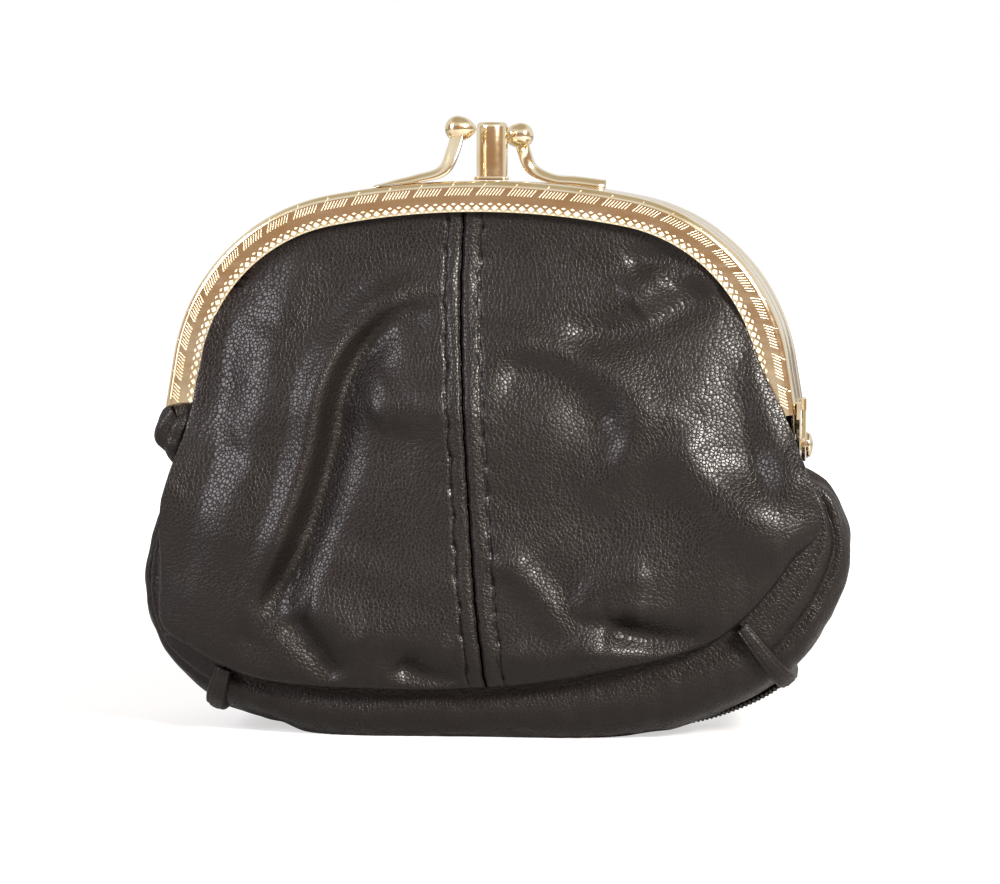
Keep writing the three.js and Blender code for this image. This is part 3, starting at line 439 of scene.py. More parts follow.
def fold_rise(folds, x, z):
    total = np.zeros_like(x)
    for rise, wide_left, wide_right, spots in folds:
        run, knots = smooth_track(spots)
        line = run(np.linspace(0, knots[-1], FOLD_STRETCHES + 1))
        step = np.diff(line, axis=0)
        dx = x[..., None] - line[:-1, 0]
        dz = z[..., None] - line[:-1, 1]
        share = np.clip((dx * step[:, 0] + dz * step[:, 1]) / (step ** 2).sum(1), 0, 1)
        off_x = dx - share * step[:, 0]
        off_z = dz - share * step[:, 1]
        square = off_x ** 2 + off_z ** 2
        near = square.argmin(-1)[..., None]
        distance = np.sqrt(np.take_along_axis(square, near, -1))[..., 0]
        reach = np.hypot(*step.T) * np.sqrt(square) + TINY
        side = np.take_along_axis((step[:, 0] * off_z - step[:, 1] * off_x) / reach, near, -1)[..., 0]
        along = (near + np.take_along_axis(share, near, -1))[..., 0] / FOLD_STRETCHES
        taper = mix(FOLD_TIP, 1, ramp(0, FOLD_TAPER, np.minimum(along, 1 - along)))
        wide = mix(wide_right, wide_left, ramp(-1, 1, side))
        total += rise * taper * hill(distance, wide)
    return total


def ripple(points, size, layer):
    """Smooth chance bumps of about one size, from minus one to one."""
    flat = points.reshape(-1, points.shape[-1]) / size
    values = [noise.noise(Vector((p[0], p[1] + layer * RIPPLE_SHIFT, p[2]))) for p in flat]
    return np.array(values).reshape(points.shape[:-1])


def eased(rows, reach):
    """The rows of an edge with their corners eased, its ends kept."""
    padded = np.concatenate([2 * rows[:1] - rows[reach:0:-1], rows, 2 * rows[-1:] - rows[-2:-reach - 2:-1]])
    weights = hill(np.arange(-reach, reach + 1), reach / 2)
    weights = weights / weights.sum()
    return sum(weight * padded[k:k + len(rows)] for k, weight in enumerate(weights))


def row_wander(lateral, along):
    """How far a row of stitches strays to and fro."""
    sway = ROW_SWAY * np.sin(along * ROW_SWAY_TURNS + lateral)
    return sway + ROW_SHAKE * np.sin(along * ROW_SHAKE_TURNS)


def seam_relief(lateral, from_seam, along):
    """The groove of the centre seam, its rolled edges and the row of stitches that dents the leather."""
    off_row = from_seam - STITCH_ROW[lateral] - row_wander(lateral, along)
    phase = along / STITCH_LENGTH + STITCH_SHIFT[lateral]
    to_hole = np.abs(phase - np.round(phase)) * STITCH_LENGTH
    groove = SEAM_GROOVE * hill(from_seam, SEAM_GROOVE_WIDE) + ROW_GROOVE * hill(off_row, ROW_GROOVE_WIDE)
    roll = SEAM_ROLL * hill(from_seam - SEAM_ROLL_AT, SEAM_ROLL_WIDE)
    pits = STITCH_PIT * hill(off_row, STITCH_PIT_WIDE) * hill(to_hole, STITCH_PIT_LONG)
    beside_row = hill(off_row - STITCH_PUCKER_AT, STITCH_PUCKER_WIDE)
    pucker = STITCH_PUCKER * np.cos(2 * math.pi * phase) * beside_row
    return roll - groove - pits - pucker


def within_lap(lateral, x, z):
    """The x of a point of the front, drawn in to the edge of the overlap."""
    lap_z, lap_x = np.transpose(LAP_EDGE[lateral])
    over = np.maximum(0, lateral * (x - np.interp(z, lap_z, lap_x)))
    upper = ramp(lap_z[-1], lap_z[-1] - LAP_FADE / 2, z)
    lower = ramp(lap_z[0], lap_z[0] + LAP_FADE / 4, z)
    return x - lateral * over * upper * lower


def panel_surface(facing, lateral, folds, belly, rows, columns):
    """The outside of one half of the front (facing 1) or the back (facing -1)."""
    v = crowded(np.linspace(0, 1, rows)[:, None], ROWS_CROWD)
    u = crowded(np.linspace(0, 1, columns)[None, :], COLUMNS_CROWD)
    corner = wall_knots[LEFT_LOW if lateral < 0 else RIGHT_WIDE]
    hinge = 0.0 if lateral < 0 else WALL_LENGTH
    run = np.linspace(wall_knots[LEFT_TAB], wall_knots[RIGHT_TAB], SEAM_SEARCH)
    foot_middle = np.interp(CENTRE_SEAM[0][0], wall_at(run)[:, 2], run) + lateral * PIECE_GAP / 2
    mouth_middle = CENTRE_SEAM[-1][0] - FRAME_X + lateral * PIECE_GAP / 2
    shoulder = lateral * SHOULDER_MIDDLE
    foot_edge = along_edge(seam_rows(np.linspace(foot_middle, corner, EDGE_STATIONS)))
    mouth_edge = along_edge(mouth_rows(np.linspace(mouth_middle, shoulder, EDGE_STATIONS)))
    side_edge = along_edge(np.concatenate([
        seam_rows(np.linspace(corner, hinge, EDGE_STATIONS)),
        mouth_rows(np.linspace(lateral * ARCH_END, shoulder, LEG_STATIONS)),
    ]))
    foot = foot_edge(u)
    mouth = mouth_edge(u)
    side_true = side_edge(v)
    side = eased(side_true, rows // CORNER_EASE)
    seam_line = seam_at(v[:, 0] * seam_knots[-1])
    seam_depth = mix(foot[0, 0, 2], LEATHER_IN_CHANNEL, v[:, 0])
    sway = np.sin(v[:, 0] * SEAM_SWAY_TURNS) + SEAM_SHAKE * np.sin(v[:, 0] * SEAM_SHAKE_TURNS)
    seam_x = seam_line[:, 0] + SEAM_SWAY * sway + lateral * PIECE_GAP / 2
    seam = np.stack([seam_x, seam_line[:, 1], seam_depth], -1)[:, None, :]
    u3 = u[..., None]
    v3 = v[..., None]
    corners = mix(mix(foot[:, :1], foot[:, -1:], u3), mix(mouth[:, :1], mouth[:, -1:], u3), v3)
    patch = mix(foot, mouth, v3)[..., :3] + mix(seam, side[..., :3], u3) - corners[..., :3]
    sideways = side[..., :2] - seam[..., :2]
    upward = mouth[..., :2] - foot[..., :2]
    side_length = np.linalg.norm(sideways, axis=-1)
    up_length = np.linalg.norm(upward, axis=-1)
    lap_z, lap_x = np.transpose(LAP_EDGE[lateral])
    lap = (facing > 0) * ramp(lap_z[-1], lap_z[-1] - LAP_FADE, side[..., 1])
    lap = lap * ramp(lap_z[0], lap_z[0] + LAP_FADE, side[..., 1])
    lap_out = np.maximum(-LAP_HOLLOW, lateral * (np.interp(side[..., 1], lap_z, lap_x) - side[..., 0]))
    hidden = side[..., 3] * (1 - LAP_BARES * lap)
    from_side = np.maximum(0, (1 - u) * side_length - hidden)
    from_seam = u * side_length
    from_foot = v * up_length
    from_mouth = (1 - v) * up_length
    lap_rise = round_rise(from_side + lap_out, BELLY_SIDE_ROLL) * round_rise(from_side, LAP_RETURN)
    side_rise = mix(round_rise(from_side, BELLY_SIDE_ROLL), lap_rise, lap)
    swell = belly * side_rise * round_rise(from_foot, BELLY_FOOT_ROLL) * ramp(*BELLY_MOUTH, from_mouth)
    base = mix(LEATHER_IN_CHANNEL, patch[..., 2], ramp(*DEPTH_MOUTH, from_mouth))
    bulge_side = PUFF * side[..., 4] * np.sin(math.pi * np.minimum(1, from_side / PUFF_REACH))
    lap_roll = np.sin(math.pi * np.minimum(1, from_side / LAP_REACH))
    bulge_side = mix(bulge_side, np.maximum(0, lap_out + LAP_REACH / 2) * lap_roll, lap)
    bulge_foot = PUFF * foot[..., 4] * np.sin(math.pi * np.minimum(1, from_foot / PUFF_REACH))
    out = sideways / side_length[..., None] * bulge_side[..., None]
    down = upward / up_length[..., None] * bulge_foot[..., None]
    patch = patch + (side_true - side)[..., :3] * hill(from_side, CORNER_REACH)[..., None]
    x = patch[..., 0] + out[..., 0] - down[..., 0]
    z = patch[..., 1] + out[..., 1] - down[..., 1]
    if facing > 0:
        x = within_lap(lateral, x, z)
    fade = (ramp(0, FOLD_EDGE, from_side) * ramp(0, FOLD_EDGE, from_foot)
            * ramp(BELLY_MOUTH[0], BELLY_MOUTH[0] + FOLD_EDGE, from_mouth))
    spots = np.stack([x, z, np.full_like(x, CREASE_SIDE * facing)], -1)
    creases = sum(rise * ripple(spots, size, layer) for layer, (rise, size) in enumerate(CREASES, 1))
    gathers = FOOT_GATHER * ripple(spots * FOOT_GATHER_STRETCH, FOOT_GATHER_SIZE, FOOT_GATHER_LAYER)
    gathers = gathers * hill(from_foot - FOOT_GATHER_AT, FOOT_GATHER_WIDE)
    lap_start, lap_full = lap_z[-1] - np.array(LAP_FORWARD_DROP)
    forward = LAP_FORWARD * lap * hill(from_side - LAP_RETURN, LAP_RETURN) * ramp(lap_start, lap_full, z)
    relief = fade * (fold_rise(folds, x, z) + creases) + gathers + forward
    relief = relief + seam_relief(lateral, from_seam, v * seam_knots[-1])
    return np.stack([x, -facing * (base + swell + relief), z], -1)


def grid_normals(grid, side):
    normal = np.cross(np.gradient(grid, axis=0), np.gradient(grid, axis=1))
    size = np.maximum(np.linalg.norm(normal, axis=-1, keepdims=True), TINY)
    return side * normal / size


def grid_faces(rows, columns, start=0):
    corner = start + np.arange((rows - 1) * columns).reshape(rows - 1, columns)[:, :-1].ravel()
    return np.stack([corner, corner + columns, corner + columns + 1, corner + 1], -1)


def sheet_shell(outer, inner):
    """A closed sheet from the grids of its two faces."""
    rows, columns = outer.shape[:2]
    back = rows * columns
    ring = np.concatenate([
        np.arange(columns),
        np.arange(1, rows) * columns + columns - 1,
        (rows - 1) * columns + np.arange(columns - 2, -1, -1),
        np.arange(rows - 2, 0, -1) * columns,
    ])
    after = np.roll(ring, -1)
    rim = np.stack([ring, after, after + back, ring + back], -1)
    faces = np.concatenate([grid_faces(rows, columns), grid_faces(rows, columns, back)[:, ::-1], rim])
    return np.concatenate([outer.reshape(-1, 3), inner.reshape(-1, 3)]), faces.tolist()


def new_piece(name, shells, sharp=40):
    """One mesh object from closed shells in millimetres, each turned so that its faces look out."""
    points = []
    faces = []
    start = 0
    for shell_points, shell_faces in shells:
        shell_points = np.asarray(shell_points, float)
        fans = [(f[0], f[i], f[i + 1]) for f in shell_faces for i in range(1, len(f) - 1)]
        a, b, c = (shell_points[[fan[k] for fan in fans]] for k in range(3))
        turned_in = (a * np.cross(b, c)).sum() < 0
        faces += [tuple(start + k for k in (reversed(f) if turned_in else f)) for f in shell_faces]
        points.append(shell_points)
        start += len(shell_points)
    mesh = bpy.data.meshes.new(name)
    mesh.from_pydata((np.concatenate(points) * MM).tolist(), [], faces)
    mesh.validate()
    mesh.shade_smooth()
    mesh.set_sharp_from_angle(angle=math.radians(sharp))
    piece = bpy.data.objects.new(name, mesh)
    bpy.context.scene.collection.objects.link(piece)
    return piece


def settle(piece, material, node=None):
    """Gives a piece its finish, fixes it to the purse and hides the model part of the node it stands in for.
    """
    piece.data.materials.append(material)
    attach(piece, "root")
    if node:
        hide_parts(node)


def new_group(name, inputs, outputs):
    """An empty shader node group with named value sockets, and the sockets seen from inside it."""
    group = bpy.data.node_groups.new(name, "ShaderNodeTree")
    for socket, value in inputs.items():
        entry = group.interface.new_socket(socket, in_out="INPUT", socket_type="NodeSocketFloat")
        entry.default_value = value
    for socket in outputs:
        group.interface.new_socket(socket, in_out="OUTPUT", socket_type="NodeSocketFloat")
    return group, group.nodes.new("NodeGroupInput").outputs, group.nodes.new("NodeGroupOutput").inputs


def add_group(tree, group, inputs):
    made = tree.nodes.new("ShaderNodeGroup")
    made.node_tree = group
    for key, value in inputs.items():
        made.inputs[key].default_value = value
    return made.outputs


def leather_grain_group():
    """Pebble grain: domed cells with sunken creases between them, and wide patches of tone."""
    outputs = ("Height", "Crease", "Patches")
    group, given, result = new_group("leather grain", {"Cells per metre": 1500.0}, outputs)
    place = add_node(group, "ShaderNodeTexCoord").outputs["Object"]
    bend = add_node(group, "ShaderNodeTexNoise", {"Vector": place, "Scale": 260, "Detail": 2})
    pull = add_node(group, "ShaderNodeVectorMath", {0: bend.outputs["Color"], 1: GRAIN_PULL},
                    operation="MULTIPLY")
    warped = add_node(group, "ShaderNodeVectorMath", {0: place, 1: pull.outputs[0]}, operation="ADD")
    cells = add_node(group, "ShaderNodeTexVoronoi", {"Vector": warped.outputs[0], "Scale": given[0]})
    edges = add_node(group, "ShaderNodeTexVoronoi", {"Vector": warped.outputs[0], "Scale": given[0]},
                     feature="DISTANCE_TO_EDGE")
    crease = ranged(group, edges.outputs["Distance"], GRAIN_CREASE, smooth=True)
    dome = add_node(group, "ShaderNodeMath", {0: cells.outputs["Distance"], 1: 2.0}, operation="POWER")
    sunk = add_node(group, "ShaderNodeMath", {0: crease, 1: GRAIN_CREASE_SINK, 2: dome.outputs[0]},
                    operation="MULTIPLY_ADD")
    height = add_node(group, "ShaderNodeMath", {0: 1.0, 1: sunk.outputs[0]}, operation="SUBTRACT")
    patches = add_node(group, "ShaderNodeTexNoise", {"Vector": place, "Scale": 70, "Detail": 3})
    for socket, source in zip(result, (height.outputs[0], crease, patches.outputs[0])):
        group.links.new(source, socket)
    return group


leather_grain = leather_grain_group()


def leather_finish(name, cells, roughness, bump):
    material, tree, skin = new_material(name)
    grain = add_group(tree, leather_grain, {"Cells per metre": cells})
    tint = blend(tree, grain["Patches"], LEATHER_BLACK, LEATHER_BROWN)
    # Painted shade: the creases between the pebbles are darkened in the colour.
    shade = blend(tree, grain["Crease"], tint, LEATHER_CREASE_SHADE)
    spread = (roughness - LEATHER_ROUGH_SPREAD, roughness + LEATHER_ROUGH_SPREAD)
    rough = ranged(tree, grain["Patches"], LEATHER_PATCHES, spread)
    worn = add_node(tree, "ShaderNodeMix", {0: grain["Crease"], 2: rough, 3: CREASE_ROUGH})
    relief = add_node(tree, "ShaderNodeBump", {"Strength": bump, "Distance": GRAIN_DEPTH,
                                               "Height": grain["Height"]})
    tree.links.new(shade, skin.inputs["Base Color"])
    tree.links.new(worn.outputs[0], skin.inputs["Roughness"])
    tree.links.new(relief.outputs[0], skin.inputs["Normal"])
    skin.inputs["Specular IOR Level"].default_value = LEATHER_SHINE
    return material


soft_leather = leather_finish("soft glossy leather", cells=1800.0, roughness=0.30, bump=0.85)
for side_name, lateral in (("left", -1), ("right", 1)):
    outside = panel_surface(1, lateral, FRONT_FOLDS, BELLY, PANEL_ROWS, PANEL_COLUMNS)
    inside = outside - LEATHER * grid_normals(outside, -lateral)
    inside[..., 0] = within_lap(lateral, inside[..., 0], inside[..., 2])
    half = new_piece(f"soft_front_{side_name}", [sheet_shell(outside, inside)])
    settle(half, soft_leather, f"front_panel_{side_name}")

# Soft back
# The same two halves at the back, of the same leather and sewn in the same way, with calmer folds.
# Their upper edge is clamped in the back frame.
BACK_BELLY = 5.4
BACK_ROWS = 160
BACK_COLUMNS = 110
BACK_FOLDS = [
    (-1.2, 4.2, 4.2, [(-8.6, 70.0), (-20.0, 56.0), (-27.6, 34.0)]),
    (-1.2, 4.2, 4.2, [(5.4, 69.0), (21.5, 57.0), (32.4, 36.0)]),
    (0.9, 4.0, 4.0, [(-34.6, 20.0), (-23.0, 18.3), (-12.6, 20.0)]),
    (0.9, 4.0, 4.0, [(7.4, 22.0), (19.5, 20.3), (32.4, 24.0)]),
    (0.8, 3.4, 3.0, [(-38.0, 52.0), (-30.0, 44.0), (-24.0, 28.0)]),
    (0.8, 3.0, 3.4, [(36.0, 54.0), (28.0, 46.0), (22.0, 30.0)]),
    (-0.9, 2.8, 2.8, [(-24.0, 14.0), (-17.0, 12.0), (-9.0, 14.0)]),
]
for side_name, lateral in (("left", -1), ("right", 1)):
    outside = panel_surface(-1, lateral, BACK_FOLDS, BACK_BELLY, BACK_ROWS, BACK_COLUMNS)
    inside = outside - LEATHER * grid_normals(outside, lateral)
    half = new_piece(f"soft_back_{side_name}", [sheet_shell(outside, inside)])
    settle(half, soft_leather, f"back_panel_{side_name}")

# Stitches of the centre seams
# Black waxed thread in two rows, one on either side of each centre seam. It is pulled so tight that it
# sinks into the leather and puckers it.
THREAD = 0.15
THREAD_TIP = 0.55
THREAD_PROUD = 0.02
STITCH_GAP = 0.8
STITCH_SUNK = 0.25
STITCH_SAMPLES = 420
STITCH_COLUMNS = 60
STITCHES_SHORT = 2
THREAD_STEPS = 8
THREAD_SIDES = 8
SIDEWAYS = 0.9
THREAD_BLACK = (0.006, 0.0055, 0.005, 1)


def tube_shell(path, radii, sides):
    """A round rod along a path, its ends drawn together."""
    path = np.asarray(path, float)
    ahead = np.gradient(path, axis=0)
    ahead = ahead / np.linalg.norm(ahead, axis=-1, keepdims=True)
    helper = np.where(np.abs(ahead[:, :1]) > SIDEWAYS, (0.0, 0.0, 1.0), (1.0, 0.0, 0.0))
    across = np.cross(ahead, helper)
    across = across / np.linalg.norm(across, axis=-1, keepdims=True)
    other = np.cross(ahead, across)
    angles = np.linspace(0, 2 * math.pi, sides, endpoint=False)
    ring = across[:, None] * np.cos(angles)[:, None] + other[:, None] * np.sin(angles)[:, None]
    points = path[:, None] + ring * np.asarray(radii)[:, None, None]
    return bar_shell(points)


def bar_shell(rings):
    """A closed bar through a row of rings with flat ends."""
    count, sides = rings.shape[:2]
    start = np.arange(count - 1)[:, None] * sides
    here = np.arange(sides)[None, :]
    after = (here + 1) % sides
    walls = np.stack([start + here, start + after, start + sides + after, start + sides + here], -1)
    ends = [tuple(range(sides))[::-1], tuple((count - 1) * sides + k for k in range(sides))]
    return rings.reshape(-1, 3), walls.reshape(-1, 4).tolist() + ends


def stitch_shells(facing, folds, belly):
    shells = []
    for lateral in (-1, 1):
        surface = panel_surface(facing, lateral, folds, belly, STITCH_SAMPLES, STITCH_COLUMNS)
        normal = grid_normals(surface, -facing * lateral)
        along = crowded(np.linspace(0, 1, STITCH_SAMPLES), ROWS_CROWD) * seam_knots[-1]
        from_seam = np.abs(surface[..., 0] - surface[:, :1, 0])
        row = STITCH_ROW[lateral] + row_wander(lateral, along)
        column = np.abs(from_seam - row[:, None]).argmin(1)
        line = np.take_along_axis(surface, column[:, None, None], 1)[:, 0]
        up = np.take_along_axis(normal, column[:, None, None], 1)[:, 0]
        count = along[-1] / STITCH_LENGTH - STITCHES_SHORT
        for start in np.arange(1 - STITCH_SHIFT[lateral], count) * STITCH_LENGTH:
            run = np.linspace(start + STITCH_GAP / 2, start + STITCH_LENGTH - STITCH_GAP / 2, THREAD_STEPS)
            bow = np.sin(np.linspace(0, math.pi, THREAD_STEPS))
            spot = np.stack([np.interp(run, along, line[:, k]) for k in range(3)], -1)
            away = np.stack([np.interp(run, along, up[:, k]) for k in range(3)], -1)
            path = spot + away * (STITCH_SUNK * (bow - 1) + THREAD_PROUD)[:, None]
            shells.append(tube_shell(path, THREAD * mix(THREAD_TIP, 1, bow), THREAD_SIDES))
    return shells


thread_finish, thread_tree, thread_skin = new_material("black waxed thread")
thread_twist = add_node(thread_tree, "ShaderNodeTexWave", {"Scale": 900, "Distortion": 1.5})
thread_bump = add_node(thread_tree, "ShaderNodeBump", {"Strength": 0.5, "Distance": 0.0001,
                                                       "Height": thread_twist.outputs[1]})
thread_tree.links.new(thread_bump.outputs[0], thread_skin.inputs["Normal"])
thread_skin.inputs["Base Color"].default_value = THREAD_BLACK
thread_skin.inputs["Roughness"].default_value = 0.6
thread_skin.inputs["Specular IOR Level"].default_value = 0.2
front_stitches = new_piece("seam_stitches_front", stitch_shells(1, FRONT_FOLDS, BELLY))
settle(front_stitches, thread_finish)
back_stitches = new_piece("seam_stitches_back", stitch_shells(-1, BACK_FOLDS, BACK_BELLY))
settle(back_stitches, thread_finish)

# Bottom walls
# A strip of the same leather under the front and under the back, from the seam round to the zip, where
# its edge is turned in. The purse stands on these two strips, so they are pressed flat there.
WALL_SQUARENESS = 3.2
PLEAT_WIDTH = 0.36
KNOB_ALONG, KNOB_ALONG_SPREAD = 2.2, 3.4
KNOB_TURN, KNOB_TURN_SPREAD = 0.17, 0.11
KNOB_OUT, KNOB_FORWARD, KNOB_UP = 2.6, 1.6, 2.0
ZIP_OPENING = 3.4
BAND_STATIONS = 260
BAND_STEPS = 44
BAND_OVERRUN = 0.8
BAND_REST = 1.2
BAND_WIDTH = 12
# Long and short waves: rise, size, stretch and layer of noise
BAND_WAVES = [(0.45, 9.0, (1, 1, 1.6), 5), (0.22, 3.4, (1.4, 1, 0.8), 6)]
BAND_WAVE_START = 0.12
TURNED_EDGE = 0.35
TURNED_EDGE_WIDE = 0.7
EDGE_ROLL = 0.2
EDGE_ROLL_AT = 1.6
EDGE_ROLL_WIDE = 0.8
SEAM_TUCK = 0.9
SEAM_TUCK_WIDE = 0.09
NEARBY = 0.5


def wall_inward(distance):
    step = wall_at(distance + NEARBY)[..., :2] - wall_at(distance - NEARBY)[..., :2]
    inward = np.stack([-step[..., 1], step[..., 0]], -1)
    return inward / np.linalg.norm(inward, axis=-1, keepdims=True)


def wall_point(distance, turn):
    """A point of the side and bottom wall: turn 0 is the front seam, 0.5 the middle, 1 the back seam."""
    distance, turn = np.broadcast_arrays(distance, turn)
    row = wall_at(distance)
    cosine = np.cos(math.pi * turn)
    depth = -np.sign(cosine) * np.abs(cosine) ** (2 / WALL_SQUARENESS)
    reach = np.sin(math.pi * np.clip(turn, 0, 1)) ** (2 / WALL_SQUARENESS)
    tuck = (row[..., 5] * hill(depth, PLEAT_WIDTH))[..., None] * wall_inward(distance)
    lump = hill(distance - KNOB_ALONG, KNOB_ALONG_SPREAD) * hill(turn - KNOB_TURN, KNOB_TURN_SPREAD)
    flat = mix(row[..., 2:4], row[..., 0:2], reach[..., None]) + tuck
    return np.stack([flat[..., 0] - KNOB_OUT * lump, row[..., 4] * depth - KNOB_FORWARD * lump,
                     np.maximum(0, flat[..., 1]) + KNOB_UP * lump], -1)


def wall_turn(distance, y):
    share = np.abs(y) / wall_at(distance)[..., 4]
    return np.arccos(-np.sign(y) * share ** (WALL_SQUARENESS / 2)) / math.pi


tab_left = wall_knots[LEFT_TAB]
tab_right = wall_knots[RIGHT_TAB]
for side_name, facing in (("front", 1), ("back", -1)):
    run = np.linspace(tab_left - BAND_OVERRUN, tab_right + BAND_OVERRUN, BAND_STATIONS)[:, None]
    share = np.linspace(0, 1, BAND_STEPS)[None, :]
    turn = mix(0.0 if facing > 0 else 1.0, wall_turn(run, -facing * ZIP_OPENING), share)
    outside = wall_point(run, turn)
    normal = grid_normals(outside, -facing)
    rest = ramp(0.0, BAND_REST, outside[..., 2])
    waves = sum(rise * ripple(outside * stretch, size, layer) for rise, size, stretch, layer in BAND_WAVES)
    from_edge = (1 - share) * BAND_WIDTH
    roll = EDGE_ROLL * hill(from_edge - EDGE_ROLL_AT, EDGE_ROLL_WIDE)
    tuck = TURNED_EDGE * hill(from_edge, TURNED_EDGE_WIDE) + SEAM_TUCK * hill(share, SEAM_TUCK_WIDE)
    relief = (waves * ramp(0, BAND_WAVE_START, share) + roll - tuck) * rest
    outside = outside + normal * relief[..., None]
    outside[..., 2] = np.maximum(0, outside[..., 2])
    inside = outside - LEATHER * normal
    band = new_piece(f"bottom_wall_{side_name}", [sheet_shell(outside, inside)])
    settle(band, soft_leather, f"bottom_band_{side_name}")

# Gathered sides
# A leather gusset closes each side, its edges sewn into the seams of the front and the back. It is
# rolled along those seams, tucked in along the middle and gathered under the hinge, where on the left a
# crumpled knob of it pokes out.
GUSSET_DROP = 0.9
GUSSET_STATIONS = 130
GUSSET_STEPS = 130
GUSSET_CROWD = 0.6
# The roll beside each seam and the groove behind it: rise, place and width
GUSSET_ROLLS = [(1.3, 0.06, 0.035), (-1.2, 0.15, 0.04)]
GUSSET_ROLL_START = (6, 16)
# Crumples: rise, size and layer of noise
GUSSET_CRUMPLES = [(0.35, 5.0, 7), (0.16, 2.2, 8)]
GATHER_RISE = 0.55
GATHER_TURNS = 40
GATHER_SWAY = 1.5
GATHER_SWAY_TURNS = 0.25
GATHER_REACH = 14.0
HINGE_CALM = 3
HINGE_TUCK = 1.6
HINGE_TUCK_REACH = (2.0, 9.0)
SEAM_LAP = 0.8
SEAM_LAP_WIDE = 0.035
KNOB_RINGS = 40
KNOB_SIDES = 40
KNOB_CRUMPLE = 0.25
KNOB_CRUMPLE_SIZE = 2.2
KNOB_CRUMPLE_LAYER = 11
# The bunched knob on the left: x, z, y and radius along each of its two folds
KNOB_FOLDS = [
    [(-46.2, 49.3, -7.4, 1.2), (-49.4, 48.3, -8.0, 1.7), (-50.4, 46.2, -8.0, 1.8), (-48.8, 43.4, -7.8, 1.4),
     (-47.4, 40.8, -7.2, 0.6)],
    [(-45.4, 48.5, -7.4, 1.2), (-47.8, 47.2, -8.3, 1.7), (-48.7, 44.8, -8.4, 1.9), (-48.2, 42.0, -8.1, 1.4),
     (-47.6, 40.0, -7.4, 0.6)],
]
# The dark fold between the hinge tabs on the right, in the same way
PUFF_FOLDS = [
    [(42.6, 51.0, 0.6, 0.8), (44.4, 49.4, 0.2, 1.2), (44.9, 47.6, 0.0, 1.1), (44.4, 45.4, 0.0, 0.8)],
]
for side_name, start, end in (("left", GUSSET_DROP, tab_left - PIECE_GAP / 2),
                              ("right", tab_right + PIECE_GAP / 2, WALL_LENGTH - GUSSET_DROP)):
    run = np.linspace(start, end, GUSSET_STATIONS)[:, None]
    turn = crowded(np.linspace(0, 1, GUSSET_STEPS)[None, :], GUSSET_CROWD)
    outside = wall_point(run, turn)
    normal = grid_normals(outside, -1)
    from_hinge = np.minimum(run, WALL_LENGTH - run)
    inner = np.sin(math.pi * turn) ** 0.5
    seam_turn = np.minimum(turn, 1 - turn)
    roll = sum(rise * hill(seam_turn - place, wide) for rise, place, wide in GUSSET_ROLLS)
    roll = roll * ramp(*GUSSET_ROLL_START, from_hinge)
    sway = GATHER_SWAY * np.sin(run * GATHER_SWAY_TURNS)
    gathers = GATHER_RISE * np.sin(turn * GATHER_TURNS + sway) * hill(from_hinge, GATHER_REACH)
    crumple = sum(rise * ripple(outside, size, layer) for rise, size, layer in GUSSET_CRUMPLES)
    relief = (roll + gathers + crumple) * inner * ramp(0, HINGE_CALM, from_hinge)
    outside = outside + normal * relief[..., None]
    outside[..., 1] += np.sign(turn - 0.5) * SEAM_LAP * hill(seam_turn, SEAM_LAP_WIDE)
    if side_name == "right":
        outside[..., 0] -= HINGE_TUCK * (1 - ramp(*HINGE_TUCK_REACH, from_hinge))
    inside = outside - LEATHER * normal
    shells = [sheet_shell(outside, inside)]
    for fold in (KNOB_FOLDS if side_name == "left" else PUFF_FOLDS):
        track, knots = smooth_track(fold)
        spots = track(np.linspace(0, knots[-1], KNOB_RINGS))
        points, faces = tube_shell(spots[:, [0, 2, 1]], spots[:, 3], KNOB_SIDES)
        away = points - np.repeat(spots[:, [0, 2, 1]], KNOB_SIDES, axis=0)
        crumple = KNOB_CRUMPLE * ripple(points, KNOB_CRUMPLE_SIZE, KNOB_CRUMPLE_LAYER)
        shells.append((points + away * crumple[:, None], faces))
    gusset = new_piece(f"gathered_side_{side_name}", shells)
    settle(gusset, soft_leather, f"gusset_{side_name}")

# Zip end tabs
# A folded strip of leather across each end of the zip, its own ends sewn into the front and back seams.
# It is pressed along both edges and covers the joint between the side and the bottom walls.
TAB_WIDTH = 3.2
TAB_THICK = 1.2
TAB_MARGIN = 0.004
TAB_STATIONS = 25
TAB_STEPS = 150
TAB_ROUND = 0.5
TAB_CREASE = 0.18
TAB_CREASE_AT = 0.55
TAB_CREASE_WIDE = 0.12
TAB_WRINKLE = 0.10
TAB_WRINKLE_SIZE = 1.8
TAB_WRINKLE_LAYER = 9
TAB_UNDERSIDE = 0.05
strap_leather = leather_finish("folded strap leather", cells=1900.0, roughness=0.36, bump=0.8)
for side_name, middle in (("left", tab_left), ("right", tab_right)):
    across = np.linspace(-1, 1, TAB_STATIONS)[:, None]
    turn = np.linspace(TAB_MARGIN, 1 - TAB_MARGIN, TAB_STEPS)[None, :]
    base = wall_point(middle + across * TAB_WIDTH / 2, turn)
    normal = grid_normals(base, -1)
    crown = TAB_THICK * round_rise(1 - np.abs(across), TAB_ROUND)
    crown = crown - TAB_CREASE * hill(np.abs(across) - TAB_CREASE_AT, TAB_CREASE_WIDE)
    wrinkle = TAB_WRINKLE * ripple(base, TAB_WRINKLE_SIZE, TAB_WRINKLE_LAYER)
    outside = base + normal * (PIECE_GAP + crown + wrinkle)[..., None]
    inside = base + normal * TAB_UNDERSIDE
    tab = new_piece(f"zip_tab_{side_name}", [sheet_shell(outside, inside)])
    settle(tab, strap_leather, f"tab_{side_name}")

